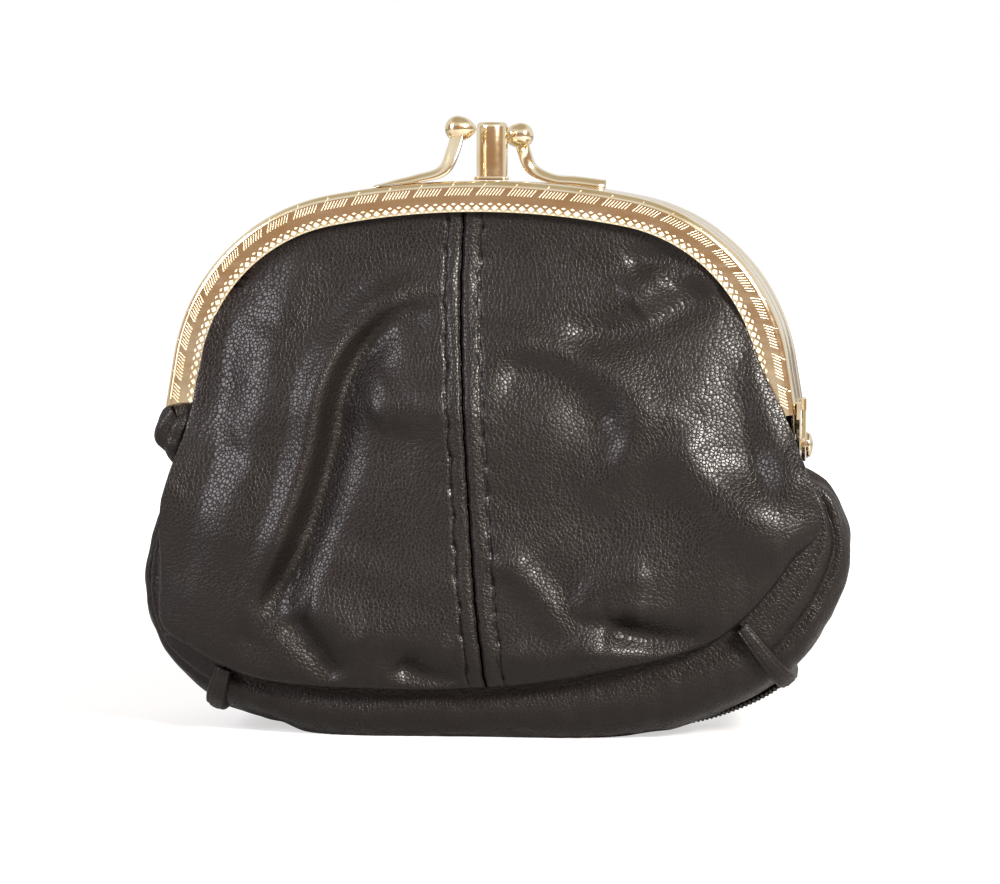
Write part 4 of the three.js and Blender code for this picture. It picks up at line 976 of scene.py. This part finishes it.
# Zip
# A black nylon coil zip: two woven tapes sewn behind the turned leather edges, two rows of coil teeth
# that mesh in the middle, and a lacquered slider at the closed left end, under the purse.
TAPE_EDGE = 7.6
TAPE_THICK = 0.7
TAPE_SETBACK = 1.4
TAPE_STATIONS = 160
TAPE_STEPS = 12
CHAIN_SAMPLES = 900
CHAIN_SETBACK = 0.2
CHAIN_PUSH = 1.5
CHAIN_PUSH_RUN = (20, 34)
CHAIN_SINK = 1.2
CHAIN_SINK_RUN = (20, 32)
OFF_MIDDLE = 1e-6
TOOTH_PITCH = 0.7
TOOTH_RADIUS = 0.34
TOOTH_SIDES = 8
# One tooth from its tip out: reach, rise and share of the radius
TOOTH = [(-0.45, -0.25, 0.35), (-0.3, -0.05, 0.9), (0.2, 0.0, 1.0), (0.9, 0.0, 0.95), (1.5, -0.15, 0.9),
         (1.9, -0.6, 0.6)]
CORE_EVERY = 6
CORE_RADIUS = 0.42
SLIDER_START = 2.5
SLIDER_LENGTH = 6
SLIDER_HALF = 3.0
SLIDER_SINK = 1.7
SLIDER_STATIONS = 40
SLIDER_STEPS = 41
SLIDER_WAIST = 0.18
SLIDER_WAIST_AT = 0.3
SLIDER_WAIST_LONG = 0.45
SLIDER_RISE = 1.0
SLIDER_ROUND = 0.9
SLIDER_BRIDGE = 0.45
SLIDER_BRIDGE_HALF = 0.7
SLIDER_BRIDGE_ENDS = [(-0.7, -0.3), (0.8, 0.4)]
TAPE_BLACK = (0.010, 0.009, 0.0085, 1)
COIL_BLACK = (0.016, 0.014, 0.013, 1)
COIL_ROUGH = (0.3, 0.55)
LACQUER_BLACK = (0.020, 0.018, 0.017, 1)
LACQUER_ROUGH = (0.22, 0.42)


def zip_sink(x):
    return -CHAIN_SINK * ramp(*CHAIN_SINK_RUN, -x)


def chain_push(x):
    return CHAIN_PUSH * ramp(*CHAIN_PUSH_RUN, x)


zip_end = TAB_WIDTH / 2 + PIECE_GAP
tape_finish, tape_tree, tape_skin = new_material("woven zip tape")
tape_place = add_node(tape_tree, "ShaderNodeTexCoord").outputs["Object"]
tape_thread = {"Vector": tape_place, "Scale": 700}
tape_warp = add_node(tape_tree, "ShaderNodeTexWave", tape_thread, bands_direction="X")
tape_weft = add_node(tape_tree, "ShaderNodeTexWave", tape_thread, bands_direction="Y")
tape_weave = add_node(tape_tree, "ShaderNodeMath", {0: tape_warp.outputs[1], 1: tape_weft.outputs[1]},
                      operation="MAXIMUM")
tape_bump = add_node(tape_tree, "ShaderNodeBump", {"Strength": 0.6, "Distance": 0.0001,
                                                   "Height": tape_weave.outputs[0]})
tape_tree.links.new(tape_bump.outputs[0], tape_skin.inputs["Normal"])
tape_skin.inputs["Base Color"].default_value = TAPE_BLACK
tape_skin.inputs["Roughness"].default_value = 0.85
for side_name, facing in (("front", 1), ("back", -1)):
    run = np.linspace(tab_left + zip_end, tab_right - zip_end, TAPE_STATIONS)[:, None]
    y = np.linspace(-facing * TAPE_EDGE, -facing * PIECE_GAP, TAPE_STEPS)[None, :]
    base = wall_point(run, wall_turn(run, y))
    normal = grid_normals(base, -facing)
    lift = zip_sink(base[..., 0]) - TAPE_SETBACK
    outside = base + normal * lift[..., None]
    tape = new_piece(f"zip_tape_cloth_{side_name}", [sheet_shell(outside, outside - normal * TAPE_THICK)])
    settle(tape, tape_finish, f"zip_tape_{side_name}")

coil_finish, coil_tree, coil_skin = new_material("black nylon coil")
coil_dust = add_node(coil_tree, "ShaderNodeTexNoise", {"Scale": 1400, "Detail": 3})
coil_rough = ranged(coil_tree, coil_dust.outputs[0], (0, 1), COIL_ROUGH)
coil_tree.links.new(coil_rough, coil_skin.inputs["Roughness"])
coil_skin.inputs["Base Color"].default_value = COIL_BLACK
fine_run = np.linspace(tab_left + zip_end, tab_right - zip_end, CHAIN_SAMPLES)
fine_line = wall_point(fine_run, wall_turn(fine_run, np.full(CHAIN_SAMPLES, OFF_MIDDLE)))
fine_step = np.concatenate([[0], np.cumsum(np.linalg.norm(np.diff(fine_line, axis=0), axis=1))])
fine_ahead = np.gradient(fine_line, axis=0)
fine_out = np.cross((0.0, 1.0, 0.0), fine_ahead)
fine_out = fine_out / np.linalg.norm(fine_out, axis=-1, keepdims=True)
reach, curl, size = np.transpose(TOOTH)
teeth = []
for index in range(int(fine_step[-1] / TOOTH_PITCH * 2)):
    facing = 1 if index % 2 else -1
    at = (index + 0.5) * TOOTH_PITCH / 2
    spot = np.array([np.interp(at, fine_step, fine_line[:, k]) for k in range(3)])
    away = np.array([np.interp(at, fine_step, fine_out[:, k]) for k in range(3)])
    lift = zip_sink(spot[0]) + chain_push(spot[0]) - CHAIN_SETBACK - TOOTH_RADIUS
    path = spot + away * (lift + curl)[:, None] + np.array([0.0, -facing, 0.0]) * reach[:, None]
    teeth.append(tube_shell(path, TOOTH_RADIUS * size, TOOTH_SIDES))
core_line = fine_line[::CORE_EVERY]
core_lift = zip_sink(core_line[:, 0]) + chain_push(core_line[:, 0]) - CHAIN_SETBACK - 2 * TOOTH_RADIUS
core_path = core_line + fine_out[::CORE_EVERY] * core_lift[:, None]
teeth.append(tube_shell(core_path, np.full(len(core_path), CORE_RADIUS), TOOTH_SIDES))
coil = new_piece("zip_coil_teeth", teeth)
settle(coil, coil_finish, "zip_chain")

lacquer_finish, lacquer_tree, lacquer_skin = new_material("black lacquer")
lacquer_mist = add_node(lacquer_tree, "ShaderNodeTexNoise", {"Scale": 900, "Detail": 4})
lacquer_rough = ranged(lacquer_tree, lacquer_mist.outputs[0], (0, 1), LACQUER_ROUGH)
lacquer_tree.links.new(lacquer_rough, lacquer_skin.inputs["Roughness"])
lacquer_skin.inputs["Base Color"].default_value = LACQUER_BLACK
lacquer_skin.inputs["Coat Weight"].default_value = 0.4
slider_end = tab_left + SLIDER_START
run = np.linspace(slider_end, slider_end + SLIDER_LENGTH, SLIDER_STATIONS)[:, None]
y = np.linspace(-SLIDER_HALF, SLIDER_HALF, SLIDER_STEPS)[None, :]
base = wall_point(run, wall_turn(run, y + OFF_MIDDLE))
normal = grid_normals(base, -1)
along = np.linspace(-1, 1, SLIDER_STATIONS)[:, None]
waist = 1 - SLIDER_WAIST * hill(along - SLIDER_WAIST_AT, SLIDER_WAIST_LONG)
base[..., 1] = base[..., 1] * waist
edge = np.minimum((1 - np.abs(along)) * SLIDER_LENGTH / 2, (1 - np.abs(y / SLIDER_HALF)) * SLIDER_HALF)
crown = SLIDER_BRIDGE * hill(y, SLIDER_BRIDGE_HALF)
for bridge_end, bridge_full in SLIDER_BRIDGE_ENDS:
    crown = crown * ramp(bridge_end, bridge_full, along)
crown = crown + SLIDER_RISE * round_rise(edge, SLIDER_ROUND)
outside = base + normal * (crown - SLIDER_SINK)[..., None]
slider = new_piece("zip_slider_body", [sheet_shell(outside, base - normal * SLIDER_SINK)])
settle(slider, lacquer_finish, "zip_slider")

# Dividing wall
# A thinner sheet of leather, held in the channel of the middle frame. It hangs between the two
# compartments and stops short of the sides and the bottom.
DIVIDER_THICK = 1.0
DIVIDER_CLEAR = 1.2
DIVIDER_FOOT = 5.0
DIVIDER_FOOT_KNOTS = [(5, 6), (13, 12)]
DIVIDER_LEG_CLEAR = 5
DIVIDER_STATIONS = 140
DIVIDER_STEPS = 90
DIVIDER_WAVE = 0.12
DIVIDER_WAVE_SIZE = 14.0
DIVIDER_WAVE_LAYER = 10
divider_end = ARCH_END - DIVIDER_LEG_CLEAR
run = np.linspace(-divider_end, divider_end, DIVIDER_STATIONS)
top_edge = arch_point(run, tuck_at(run) + PIECE_GAP, 0.0)
below = np.linspace(wall_knots[1], wall_knots[-2], DIVIDER_STATIONS)
foot_edge = wall_point(below, np.full(DIVIDER_STATIONS, 0.5))
inward = wall_inward(below) * (LEATHER + DIVIDER_CLEAR)
lift = DIVIDER_FOOT
for foot_start, foot_full in DIVIDER_FOOT_KNOTS:
    lift = lift * ramp(wall_knots[foot_start], wall_knots[foot_full], below)
foot_edge = foot_edge + np.stack([inward[:, 0], 0 * lift, inward[:, 1] + lift], -1)
share = np.linspace(0, 1, DIVIDER_STEPS)[:, None, None]
sheet = mix(top_edge[None], foot_edge[None], share)
wave = DIVIDER_WAVE * ripple(sheet, DIVIDER_WAVE_SIZE, DIVIDER_WAVE_LAYER)
sheet[..., 1] = wave * np.sin(math.pi * share[..., 0])
half_thick = np.array([0.0, DIVIDER_THICK / 2, 0.0])
divider = new_piece("dividing_wall", [sheet_shell(sheet - half_thick, sheet + half_thick)])
settle(divider, strap_leather, "divider")

# Snap frames
# Three channels of plated steel bent to one arch. The front and back ones have a rounded shoulder, a
# stamped row of slanting strokes in groups and a knurled band of diamonds along the lip. A hinge tab
# runs down from the end of each leg.
FRAME_PITCH = 5
CHANNEL_DEPTH = 4.4
CHANNEL_WALL = 0.7
SHOULDER_ROUND = 1.2
MIDDLE_SHOULDER = 0.3
LIP_ROUND = 0.14
BACK_ROUND = 0.25
LIP_STEPS = 5
SHOULDER_STEPS = 9
BACK_STEPS = 4
FACE_STEPS = 6
ARCH_STATIONS = 300
FRAME_SHARP = 28
PIVOT_Z = 44.2
HINGE_TAB = 0.7
HINGE_EYE = 2.5
HINGE_X = {"middle": 46.85, "front": 47.65, "back": 48.45}
HINGE_TOP = 51
HINGE_LEAN = 0.6
HINGE_SHOULDER = 0.8
EYE_STEPS = 24
# The eased edges of a hinge tab: share of its thickness and how far the outline is drawn in
HINGE_EDGES = [(0.0, 0.12), (0.18, 0.0), (0.82, 0.0), (1.0, 0.12)]
STEP_CLEAR = 0.05
STAMP_SUNK = 0.06
STROKE_GROUP = 4.85
STROKES = 8
STROKE_STEP = 0.5
STROKE_SLANT = math.radians(37)
STROKE_WIDE = 0.072
STROKE_RIDGE = 0.6
STROKE_RISE = 0.07
STROKE_TILT = 0.22
STROKE_LONG = 0.35
STROKE_OUTER = 1.05
STROKE_INNER = 2.15
STROKE_CLEAR = 1.2
STROKE_TIP_CLEAR = 0.6
DIAMOND_PITCH = 1.43
DIAMOND_RISE = 0.08
DIAMOND_TILT = 0.16
DIAMOND_TOP = 0.78
DIAMOND_ROWS = [
    {"inset": 4.03, "half_along": 0.61, "half_across": 0.47, "shift": 0.0},
    {"inset": 3.46, "half_along": 0.44, "half_across": 0.20, "shift": 0.5},
    {"inset": 4.50, "half_along": 0.36, "half_across": 0.12, "shift": 0.5},
]
PALE_GOLD = (0.90, 0.79, 0.58, 1)
DEEP_GOLD = (0.80, 0.64, 0.40, 1)
# A paler gold for the stamped marks, as a painted highlight.
HIGHLIGHT_GOLD = (0.96, 0.89, 0.73, 1)
WEAR_SIZES = {"Scratch size": 900.0, "Cloud size": 180.0}
SCRATCH_STRETCH = (0.12, 1.0, 1.0)
SCRATCH_RANGE = (0.35, 0.7)
SCRATCH_DEPTH = 0.00004
CLOUD_RANGE = (0.42, 0.72)


def arc_points(centre, radius, start, end, count):
    angles = np.radians(np.linspace(start, end, count))
    return [(centre[0] + radius * math.cos(a), centre[1] + radius * math.sin(a)) for a in angles]


def channel_outline(shoulder):
    """The channel's section as inset from the rim and depth behind the face."""
    lip = arc_points((CHANNEL_FACE - LIP_ROUND, LIP_ROUND), LIP_ROUND, 0, -90, LIP_STEPS)
    rim = arc_points((shoulder, shoulder), shoulder, -90, -180, SHOULDER_STEPS)
    back = arc_points((BACK_ROUND, CHANNEL_DEPTH - BACK_ROUND), BACK_ROUND, 180, 90, BACK_STEPS)
    face = [(inset, 0.0) for inset in np.linspace(CHANNEL_FACE - LIP_ROUND, shoulder, FACE_STEPS)[1:-1]]
    inside = [(CHANNEL_FACE, CHANNEL_DEPTH), (CHANNEL_FACE, CHANNEL_DEPTH - CHANNEL_WALL),
              (CHANNEL_WALL, CHANNEL_DEPTH - CHANNEL_WALL), (CHANNEL_WALL, CHANNEL_WALL),
              (CHANNEL_FACE, CHANNEL_WALL)]
    return np.array(lip + face + rim + back + inside)


def channel_shell(middle, facing, shoulder):
    outline = channel_outline(shoulder)
    run = np.linspace(-ARCH_END, ARCH_END, ARCH_STATIONS)[:, None]
    depth = middle + facing * (outline[None, :, 1] - CHANNEL_DEPTH / 2)
    return bar_shell(arch_point(run, outline[None, :, 0], depth))


def face_depth(inset):
    """How far the face falls back on the rounded shoulder."""
    short = np.clip((SHOULDER_ROUND - inset) / SHOULDER_ROUND, 0, 1)
    return SHOULDER_ROUND * (1 - np.sqrt(1 - short * short))


def stamped_shell(ring, top, middle, facing, rise, tilt):
    """A raised mark on the face: a ring of run and inset, drawn in to a narrower ring on a tilted top."""
    ring = np.asarray(ring, float)
    top = np.asarray(top, float)
    front = middle - facing * CHANNEL_DEPTH / 2

    def lifted(spots, height):
        return arch_point(spots[:, 0], spots[:, 1], front + facing * (face_depth(spots[:, 1]) - height))

    low = lifted(ring, -STAMP_SUNK)
    high = lifted(top, rise + tilt * (top[:, 1] - top[:, 1].min()))
    return bar_shell(np.stack([low, high]))


def stroke_shells(middle, facing):
    shells = []
    slope = math.tan(STROKE_SLANT)
    groups = int(2 * ARCH_END / STROKE_GROUP)
    start = -groups * STROKE_GROUP / 2
    for group in range(groups):
        for stroke in range(STROKES):
            outer = STROKE_OUTER if stroke else STROKE_LONG
            inner = STROKE_INNER
            foot = start + group * STROKE_GROUP + stroke * STROKE_STEP
            tip = foot + (inner - outer) * slope
            if abs(foot) > ARCH_END - STROKE_CLEAR or abs(tip) > ARCH_END - STROKE_TIP_CLEAR:
                continue
            ahead = np.array([tip - foot, outer - inner])
            ahead = ahead / np.linalg.norm(ahead)
            across = np.array([-ahead[1], ahead[0]]) * STROKE_WIDE
            low_end = np.array([foot, inner])
            high_end = np.array([tip, outer])
            ring = [low_end + across, high_end + across, high_end - across, low_end - across]
            ridge = across * STROKE_RIDGE
            run_in = ahead * STROKE_WIDE * STROKE_RIDGE
            top = [low_end + run_in + ridge, high_end - run_in + ridge,
                   high_end - run_in - ridge, low_end + run_in - ridge]
            shells.append(stamped_shell(ring, top, middle, facing, STROKE_RISE, STROKE_TILT))
    return shells


def diamond_shells(middle, facing):
    shells = []
    count = int(2 * ARCH_END / DIAMOND_PITCH) - 1
    for row in DIAMOND_ROWS:
        for index in range(count):
            run = (index + row["shift"] - (count - 1) / 2) * DIAMOND_PITCH
            ring = [(run - row["half_along"], row["inset"]), (run, row["inset"] - row["half_across"]),
                    (run + row["half_along"], row["inset"]), (run, row["inset"] + row["half_across"])]
            top = mix(np.mean(ring, axis=0), np.array(ring), DIAMOND_TOP)
            shells.append(stamped_shell(ring, top, middle, facing, DIAMOND_RISE, DIAMOND_TILT))
    return shells


def hinge_shells(name, middle):
    """The two hinge tabs of a frame: flat strips that carry the legs over to the pivots."""
    front = middle - CHANNEL_DEPTH / 2
    back = middle + CHANNEL_DEPTH / 2
    leg_end = float(arch_point(ARCH_END, 0.0, 0.0)[2])
    lean = math.degrees(np.sign(middle) * HINGE_LEAN)
    eye = arc_points((0, PIVOT_Z), HINGE_EYE, 180 - lean, 360 - lean, EYE_STEPS)
    outline = [(back, HINGE_TOP), (front, HINGE_TOP), (front, leg_end - HINGE_SHOULDER * (middle < 0))]
    outline = np.array(outline + eye + [(back, leg_end - HINGE_SHOULDER * (middle > 0))])
    shells = []
    for lateral in (-1, 1):
        ring = []
        for share, inset in HINGE_EDGES:
            centre = outline.mean(0)
            drawn = outline + (centre - outline) * (inset / np.linalg.norm(outline - centre, axis=1))[:, None]
            x = FRAME_X + lateral * (HINGE_X[name] + share * HINGE_TAB)
            ring.append(np.stack([np.full(len(drawn), x), drawn[:, 0], drawn[:, 1]], -1))
        shells.append(bar_shell(np.stack(ring)))
    return shells


def step_shells(middle):
    """The short blocks on which the back tabs step out over the front tabs."""
    outer = HINGE_X["back"] + HINGE_TAB
    inner = HINGE_X["front"] - HINGE_TAB / 2
    leg_end = arch_point(ARCH_END, 0.0, 0.0)
    low = float(leg_end[2]) + PIECE_GAP
    top = float(leg_end[0]) - FRAME_X - (HINGE_TOP - float(leg_end[2])) / math.tan(LEG_ANGLE) + PIECE_GAP
    y = CHANNEL_DEPTH / 2 - STEP_CLEAR
    shells = []
    for lateral in (-1, 1):
        rings = []
        for z, far in ((low, outer), (HINGE_TOP, top)):
            corners = ((inner, -y), (far, -y), (far, y), (inner, y))
            rings.append([(FRAME_X + lateral * x, middle + side, z) for x, side in corners])
        shells.append(bar_shell(np.array(rings)))
    return shells


def handling_wear_group():
    """Marks of use on polished metal: hair scratches and duller, cloudy patches."""
    group, given, result = new_group("handling wear", WEAR_SIZES, ("Scratches", "Clouds"))
    place = add_node(group, "ShaderNodeTexCoord").outputs["Object"]
    drawn = add_node(group, "ShaderNodeVectorMath", {0: place, 1: SCRATCH_STRETCH}, operation="MULTIPLY")
    hair = add_node(group, "ShaderNodeTexNoise", {"Vector": drawn.outputs[0], "Scale": given[0], "Detail": 6,
                                                  "Roughness": 0.7})
    cloud = add_node(group, "ShaderNodeTexNoise", {"Vector": place, "Scale": given[1], "Detail": 3})
    group.links.new(hair.outputs[0], result[0])
    group.links.new(cloud.outputs[0], result[1])
    return group


handling_wear = handling_wear_group()


def gold_finish(name, pale, deep, smooth, dull, bump):
    material, tree, skin = new_material(name)
    wear = add_group(tree, handling_wear, WEAR_SIZES)
    tint = blend(tree, ranged(tree, wear["Clouds"], CLOUD_RANGE), pale, deep)
    rough = ranged(tree, wear["Scratches"], SCRATCH_RANGE, (smooth, dull))
    scratch = add_node(tree, "ShaderNodeBump", {"Strength": bump, "Distance": SCRATCH_DEPTH,
                                                "Height": wear["Scratches"]})
    tree.links.new(tint, skin.inputs["Base Color"])
    tree.links.new(rough, skin.inputs["Roughness"])
    tree.links.new(scratch.outputs[0], skin.inputs["Normal"])
    skin.inputs["Metallic"].default_value = 1.0
    return material


frame_gold = gold_finish("satin gold plating", PALE_GOLD, DEEP_GOLD, smooth=0.10, dull=0.20, bump=0.04)
# The stamped marks are rougher, which is their real finish, and paler, which is a painted highlight.
highlit_stamp_gold = gold_finish("stamped gold plating with painted highlight", HIGHLIGHT_GOLD, PALE_GOLD, smooth=0.48, dull=0.58, bump=0.02)
for name, middle, facing, shoulder in (("front", -FRAME_PITCH, 1, SHOULDER_ROUND),
                                       ("middle", 0.0, 1, MIDDLE_SHOULDER),
                                       ("back", FRAME_PITCH, -1, SHOULDER_ROUND)):
    shells = [channel_shell(middle, facing, shoulder)] + hinge_shells(name, middle)
    if name != "middle":
        marks = stroke_shells(middle, facing) + diamond_shells(middle, facing)
        settle(new_piece(f"frame_stamping_{name}", marks, sharp=FRAME_SHARP), highlit_stamp_gold)
    if name == "back":
        shells += step_shells(middle)
    snap_frame = new_piece(f"snap_frame_{name}", shells, sharp=FRAME_SHARP)
    settle(snap_frame, frame_gold, f"{name}_frame")

# Hinge rivets
# A plated rivet holds the three hinge tabs together on each side, with a washer under its domed head.
# Its tail is spread behind the innermost tab.
RIVET_SHAFT = 0.85
RIVET_HEAD = 1.9
RIVET_RISE = 1.0
RIVET_DOME_FOOT = 0.35
RIVET_DOME_STEPS = 9
RIVET_TAIL = 1.45
RIVET_TAIL_LONG = 0.6
RIVET_TAIL_EDGE = 0.2
RIVET_CLEAR = 0.05
WASHER = 2.0
WASHER_THICK = 0.25
WASHER_TOP = 1.65
WASHER_TOP_RISE = 0.3
RIVET_SIDES = 36
POLE = 0.004


def turned_shell(profile, origin, axis, up):
    """A body turned about an axis: the profile lists radius and way along the axis."""
    axis = np.asarray(axis, float)
    first = np.asarray(up, float)
    second = np.cross(axis, first)
    angles = np.linspace(0, 2 * math.pi, RIVET_SIDES, endpoint=False)
    ring = first * np.cos(angles)[:, None] + second * np.sin(angles)[:, None]
    rings = [np.asarray(origin) + axis * way + ring * max(radius, POLE) for radius, way in profile]
    return bar_shell(np.stack(rings))


polished_gold = gold_finish("polished gold plating", PALE_GOLD, DEEP_GOLD, smooth=0.10, dull=0.20, bump=0.03)
rivet_inside = HINGE_X["middle"] - PIECE_GAP
rivet_outside = HINGE_X["back"] + HINGE_TAB + RIVET_CLEAR
rivet_tail = rivet_inside - RIVET_TAIL_LONG
dome_foot = rivet_outside + RIVET_DOME_FOOT
dome_rise = RIVET_RISE - RIVET_DOME_FOOT
rivet_dome = [(RIVET_HEAD * math.cos(a), dome_foot + dome_rise * math.sin(a))
              for a in np.linspace(0, math.pi / 2, RIVET_DOME_STEPS)]
rivet_profile = [(0, rivet_tail), (RIVET_TAIL - RIVET_TAIL_EDGE, rivet_tail),
                 (RIVET_TAIL, rivet_tail + RIVET_TAIL_EDGE), (RIVET_TAIL, rivet_inside),
                 (RIVET_SHAFT, rivet_inside), (RIVET_SHAFT, rivet_outside),
                 (WASHER, rivet_outside), (WASHER, rivet_outside + WASHER_THICK),
                 (WASHER_TOP, rivet_outside + WASHER_TOP_RISE)] + rivet_dome
for side_name, lateral in (("left", -1), ("right", 1)):
    rivet_shell = turned_shell(rivet_profile, (FRAME_X, 0, PIVOT_Z), (lateral, 0, 0), (0, 0, 1))
    rivet = new_piece(f"rivet_{side_name}", [rivet_shell])
    settle(rivet, polished_gold, f"hinge_rivet_{side_name}")

# Ball clasp
# A half-round spring lever is soldered along the front frame and one along the back frame. Each rises
# to a pear-shaped ball, and the two balls snap past the half-round post on the middle frame.
BALL = 1.95
BALL_ROUND_END = 0.62 * math.pi
BALL_STEPS = 22
# The drawn-out nose of a ball: radius and way along its axis
BALL_NOSE = [(1.72, 1.1), (1.45, 1.65), (1.12, 2.1), (0.78, 2.45), (0.4, 2.72), (0, 2.82)]
LEVER_STATIONS = 70
LEVER_STEPS = 15
LEVER_SHARP = 50
LEVER_WIDTH = 3.2
LEVER_THICK = 1.3
LEVER_LIFT = 0.75
# The half-round section: how far it sits down, and the two corners of its flat side
LEVER_SINK = 0.5
LEVER_FLAT = [(-0.92, -0.62), (0.92, -0.62)]
# Shares of the width or thickness, and the stretches of the lever over which they are reached
LEVER_NECK, LEVER_NECK_RUN = 0.62, (0.5, 0.9)
LEVER_TAIL, LEVER_TAIL_RUN = 0.8, (0, 0.06)
LEVER_RISE, LEVER_RISE_RUN = 1.35, (0.45, 0.8)
LEVER_THIN_RUN = (0, 0.5)
LEVERS = {
    "front": {"lateral": -1, "y": -FRAME_PITCH, "foot": (16.0, 13, 9.6), "thin": 0.3,
              "rise": [(-7.8, 86.2, -5.0), (-6.6, 89.0, -4.4), (-5.9, 92.2, -3.2)]},
    "back": {"lateral": 1, "y": FRAME_PITCH, "foot": (17.6, 13, 9.6), "thin": 1.0,
             "rise": [(4.6, 86.4, 5.0), (3.6, 88.9, 4.4), (3.1, 91.2, 3.2)]},
}
POST_X = -1.1
POST_RADIUS = 2.4
POST_WALL = 0.8
POST_TOP = 93.2
POST_OUTER_STEPS = 33
POST_INNER_STEPS = 25
# The rounded top of the post: way below its top and share of the outline
POST_TOP_ROUND = [(0.8, 1.0), (0.35, 0.95), (0.1, 0.87), (0.0, 0.78)]
POST_SETBACK = 0.8
POST_FOOT_WIDTH = 5.2
POST_FOOT_DEPTH = 3.8
FLANGE_CORNER = 0.9
FLANGE_STEPS = 7
# The flange under the post: height and share of the outline
FLANGE_ROUND = [(0.0, 0.97), (0.12, 1.0), (0.35, 1.0), (0.55, 0.95)]


def lever_shells(lateral, y, foot, thin, rise):
    lift = LEVER_LIFT * np.linspace(thin, 1, len(foot))
    base = [arch_point(lateral * run, -rise_here, y) for run, rise_here in zip(foot, lift)]
    track, knots = smooth_track([(p[0], p[2], p[1]) for p in base] + rise)
    share = np.linspace(0, 1, LEVER_STATIONS)
    spots = track(share * knots[-1])
    path = spots[:, [0, 2, 1]]
    ahead = np.gradient(path, axis=0)
    up = np.stack([ahead[:, 2] * lateral, 0 * share, -ahead[:, 0] * lateral], -1)
    up = up / np.linalg.norm(up, axis=-1, keepdims=True)
    section = np.array(arc_points((0, -LEVER_SINK), 1, 0, 180, LEVER_STEPS) + LEVER_FLAT)
    wide = LEVER_WIDTH / 2 * mix(1, LEVER_NECK, ramp(*LEVER_NECK_RUN, share))
    wide = wide * mix(LEVER_TAIL, 1, ramp(*LEVER_TAIL_RUN, share))
    thick = LEVER_THICK * mix(1, LEVER_RISE, ramp(*LEVER_RISE_RUN, share))
    thick = thick * mix(thin, 1, ramp(*LEVER_THIN_RUN, share))
    rings = (path[:, None] + up[:, None] * (section[None, :, 1:] * thick[:, None, None])
             + np.array([0.0, 1.0, 0.0]) * (section[None, :, :1] * wide[:, None, None]))
    angles = np.linspace(0, BALL_ROUND_END, BALL_STEPS)
    round_part = [(BALL * math.sin(a), -BALL * math.cos(a)) for a in angles]
    pear = turned_shell(round_part + BALL_NOSE, path[-1], (-lateral, 0, 0), (0, 0, 1))
    return [bar_shell(rings), pear]


def drawn_shell(outline, place, levels):
    """A bar from one outline at several heights, each time drawn in to a share of its size."""
    rings = []
    for height, drawn in levels:
        flat = np.array(place) + outline * drawn
        rings.append(np.column_stack([flat, np.full(len(flat), height)]))
    return bar_shell(np.stack(rings))


for name, lever in LEVERS.items():
    clasp_lever = new_piece(f"clasp_lever_{name}", lever_shells(**lever), sharp=LEVER_SHARP)
    settle(clasp_lever, polished_gold, f"{name}_clasp_lever")

post_foot = FRAME_TOP + PIECE_GAP / 3
post_outline = np.array(arc_points((0, 0), POST_RADIUS, 180, 360, POST_OUTER_STEPS)
                        + arc_points((0, 0), POST_RADIUS - POST_WALL, 360, 180, POST_INNER_STEPS))
post_levels = [(post_foot, 1.0)] + [(POST_TOP - drop, drawn) for drop, drawn in POST_TOP_ROUND]
corner_x = POST_FOOT_WIDTH / 2 - FLANGE_CORNER
corner_y = POST_FOOT_DEPTH / 2 - FLANGE_CORNER
flange_outline = []
for x, y, start in ((1, 1, 0), (-1, 1, 90), (-1, -1, 180), (1, -1, 270)):
    flange_outline += arc_points((x * corner_x, y * corner_y), FLANGE_CORNER, start, start + 90, FLANGE_STEPS)
flange_levels = [(post_foot + height, drawn) for height, drawn in FLANGE_ROUND]
post = new_piece("clasp_post_bar", [drawn_shell(post_outline, (POST_X, POST_SETBACK), post_levels),
                                    drawn_shell(np.array(flange_outline), (POST_X, 0), flange_levels)])
settle(post, frame_gold, "clasp_post")
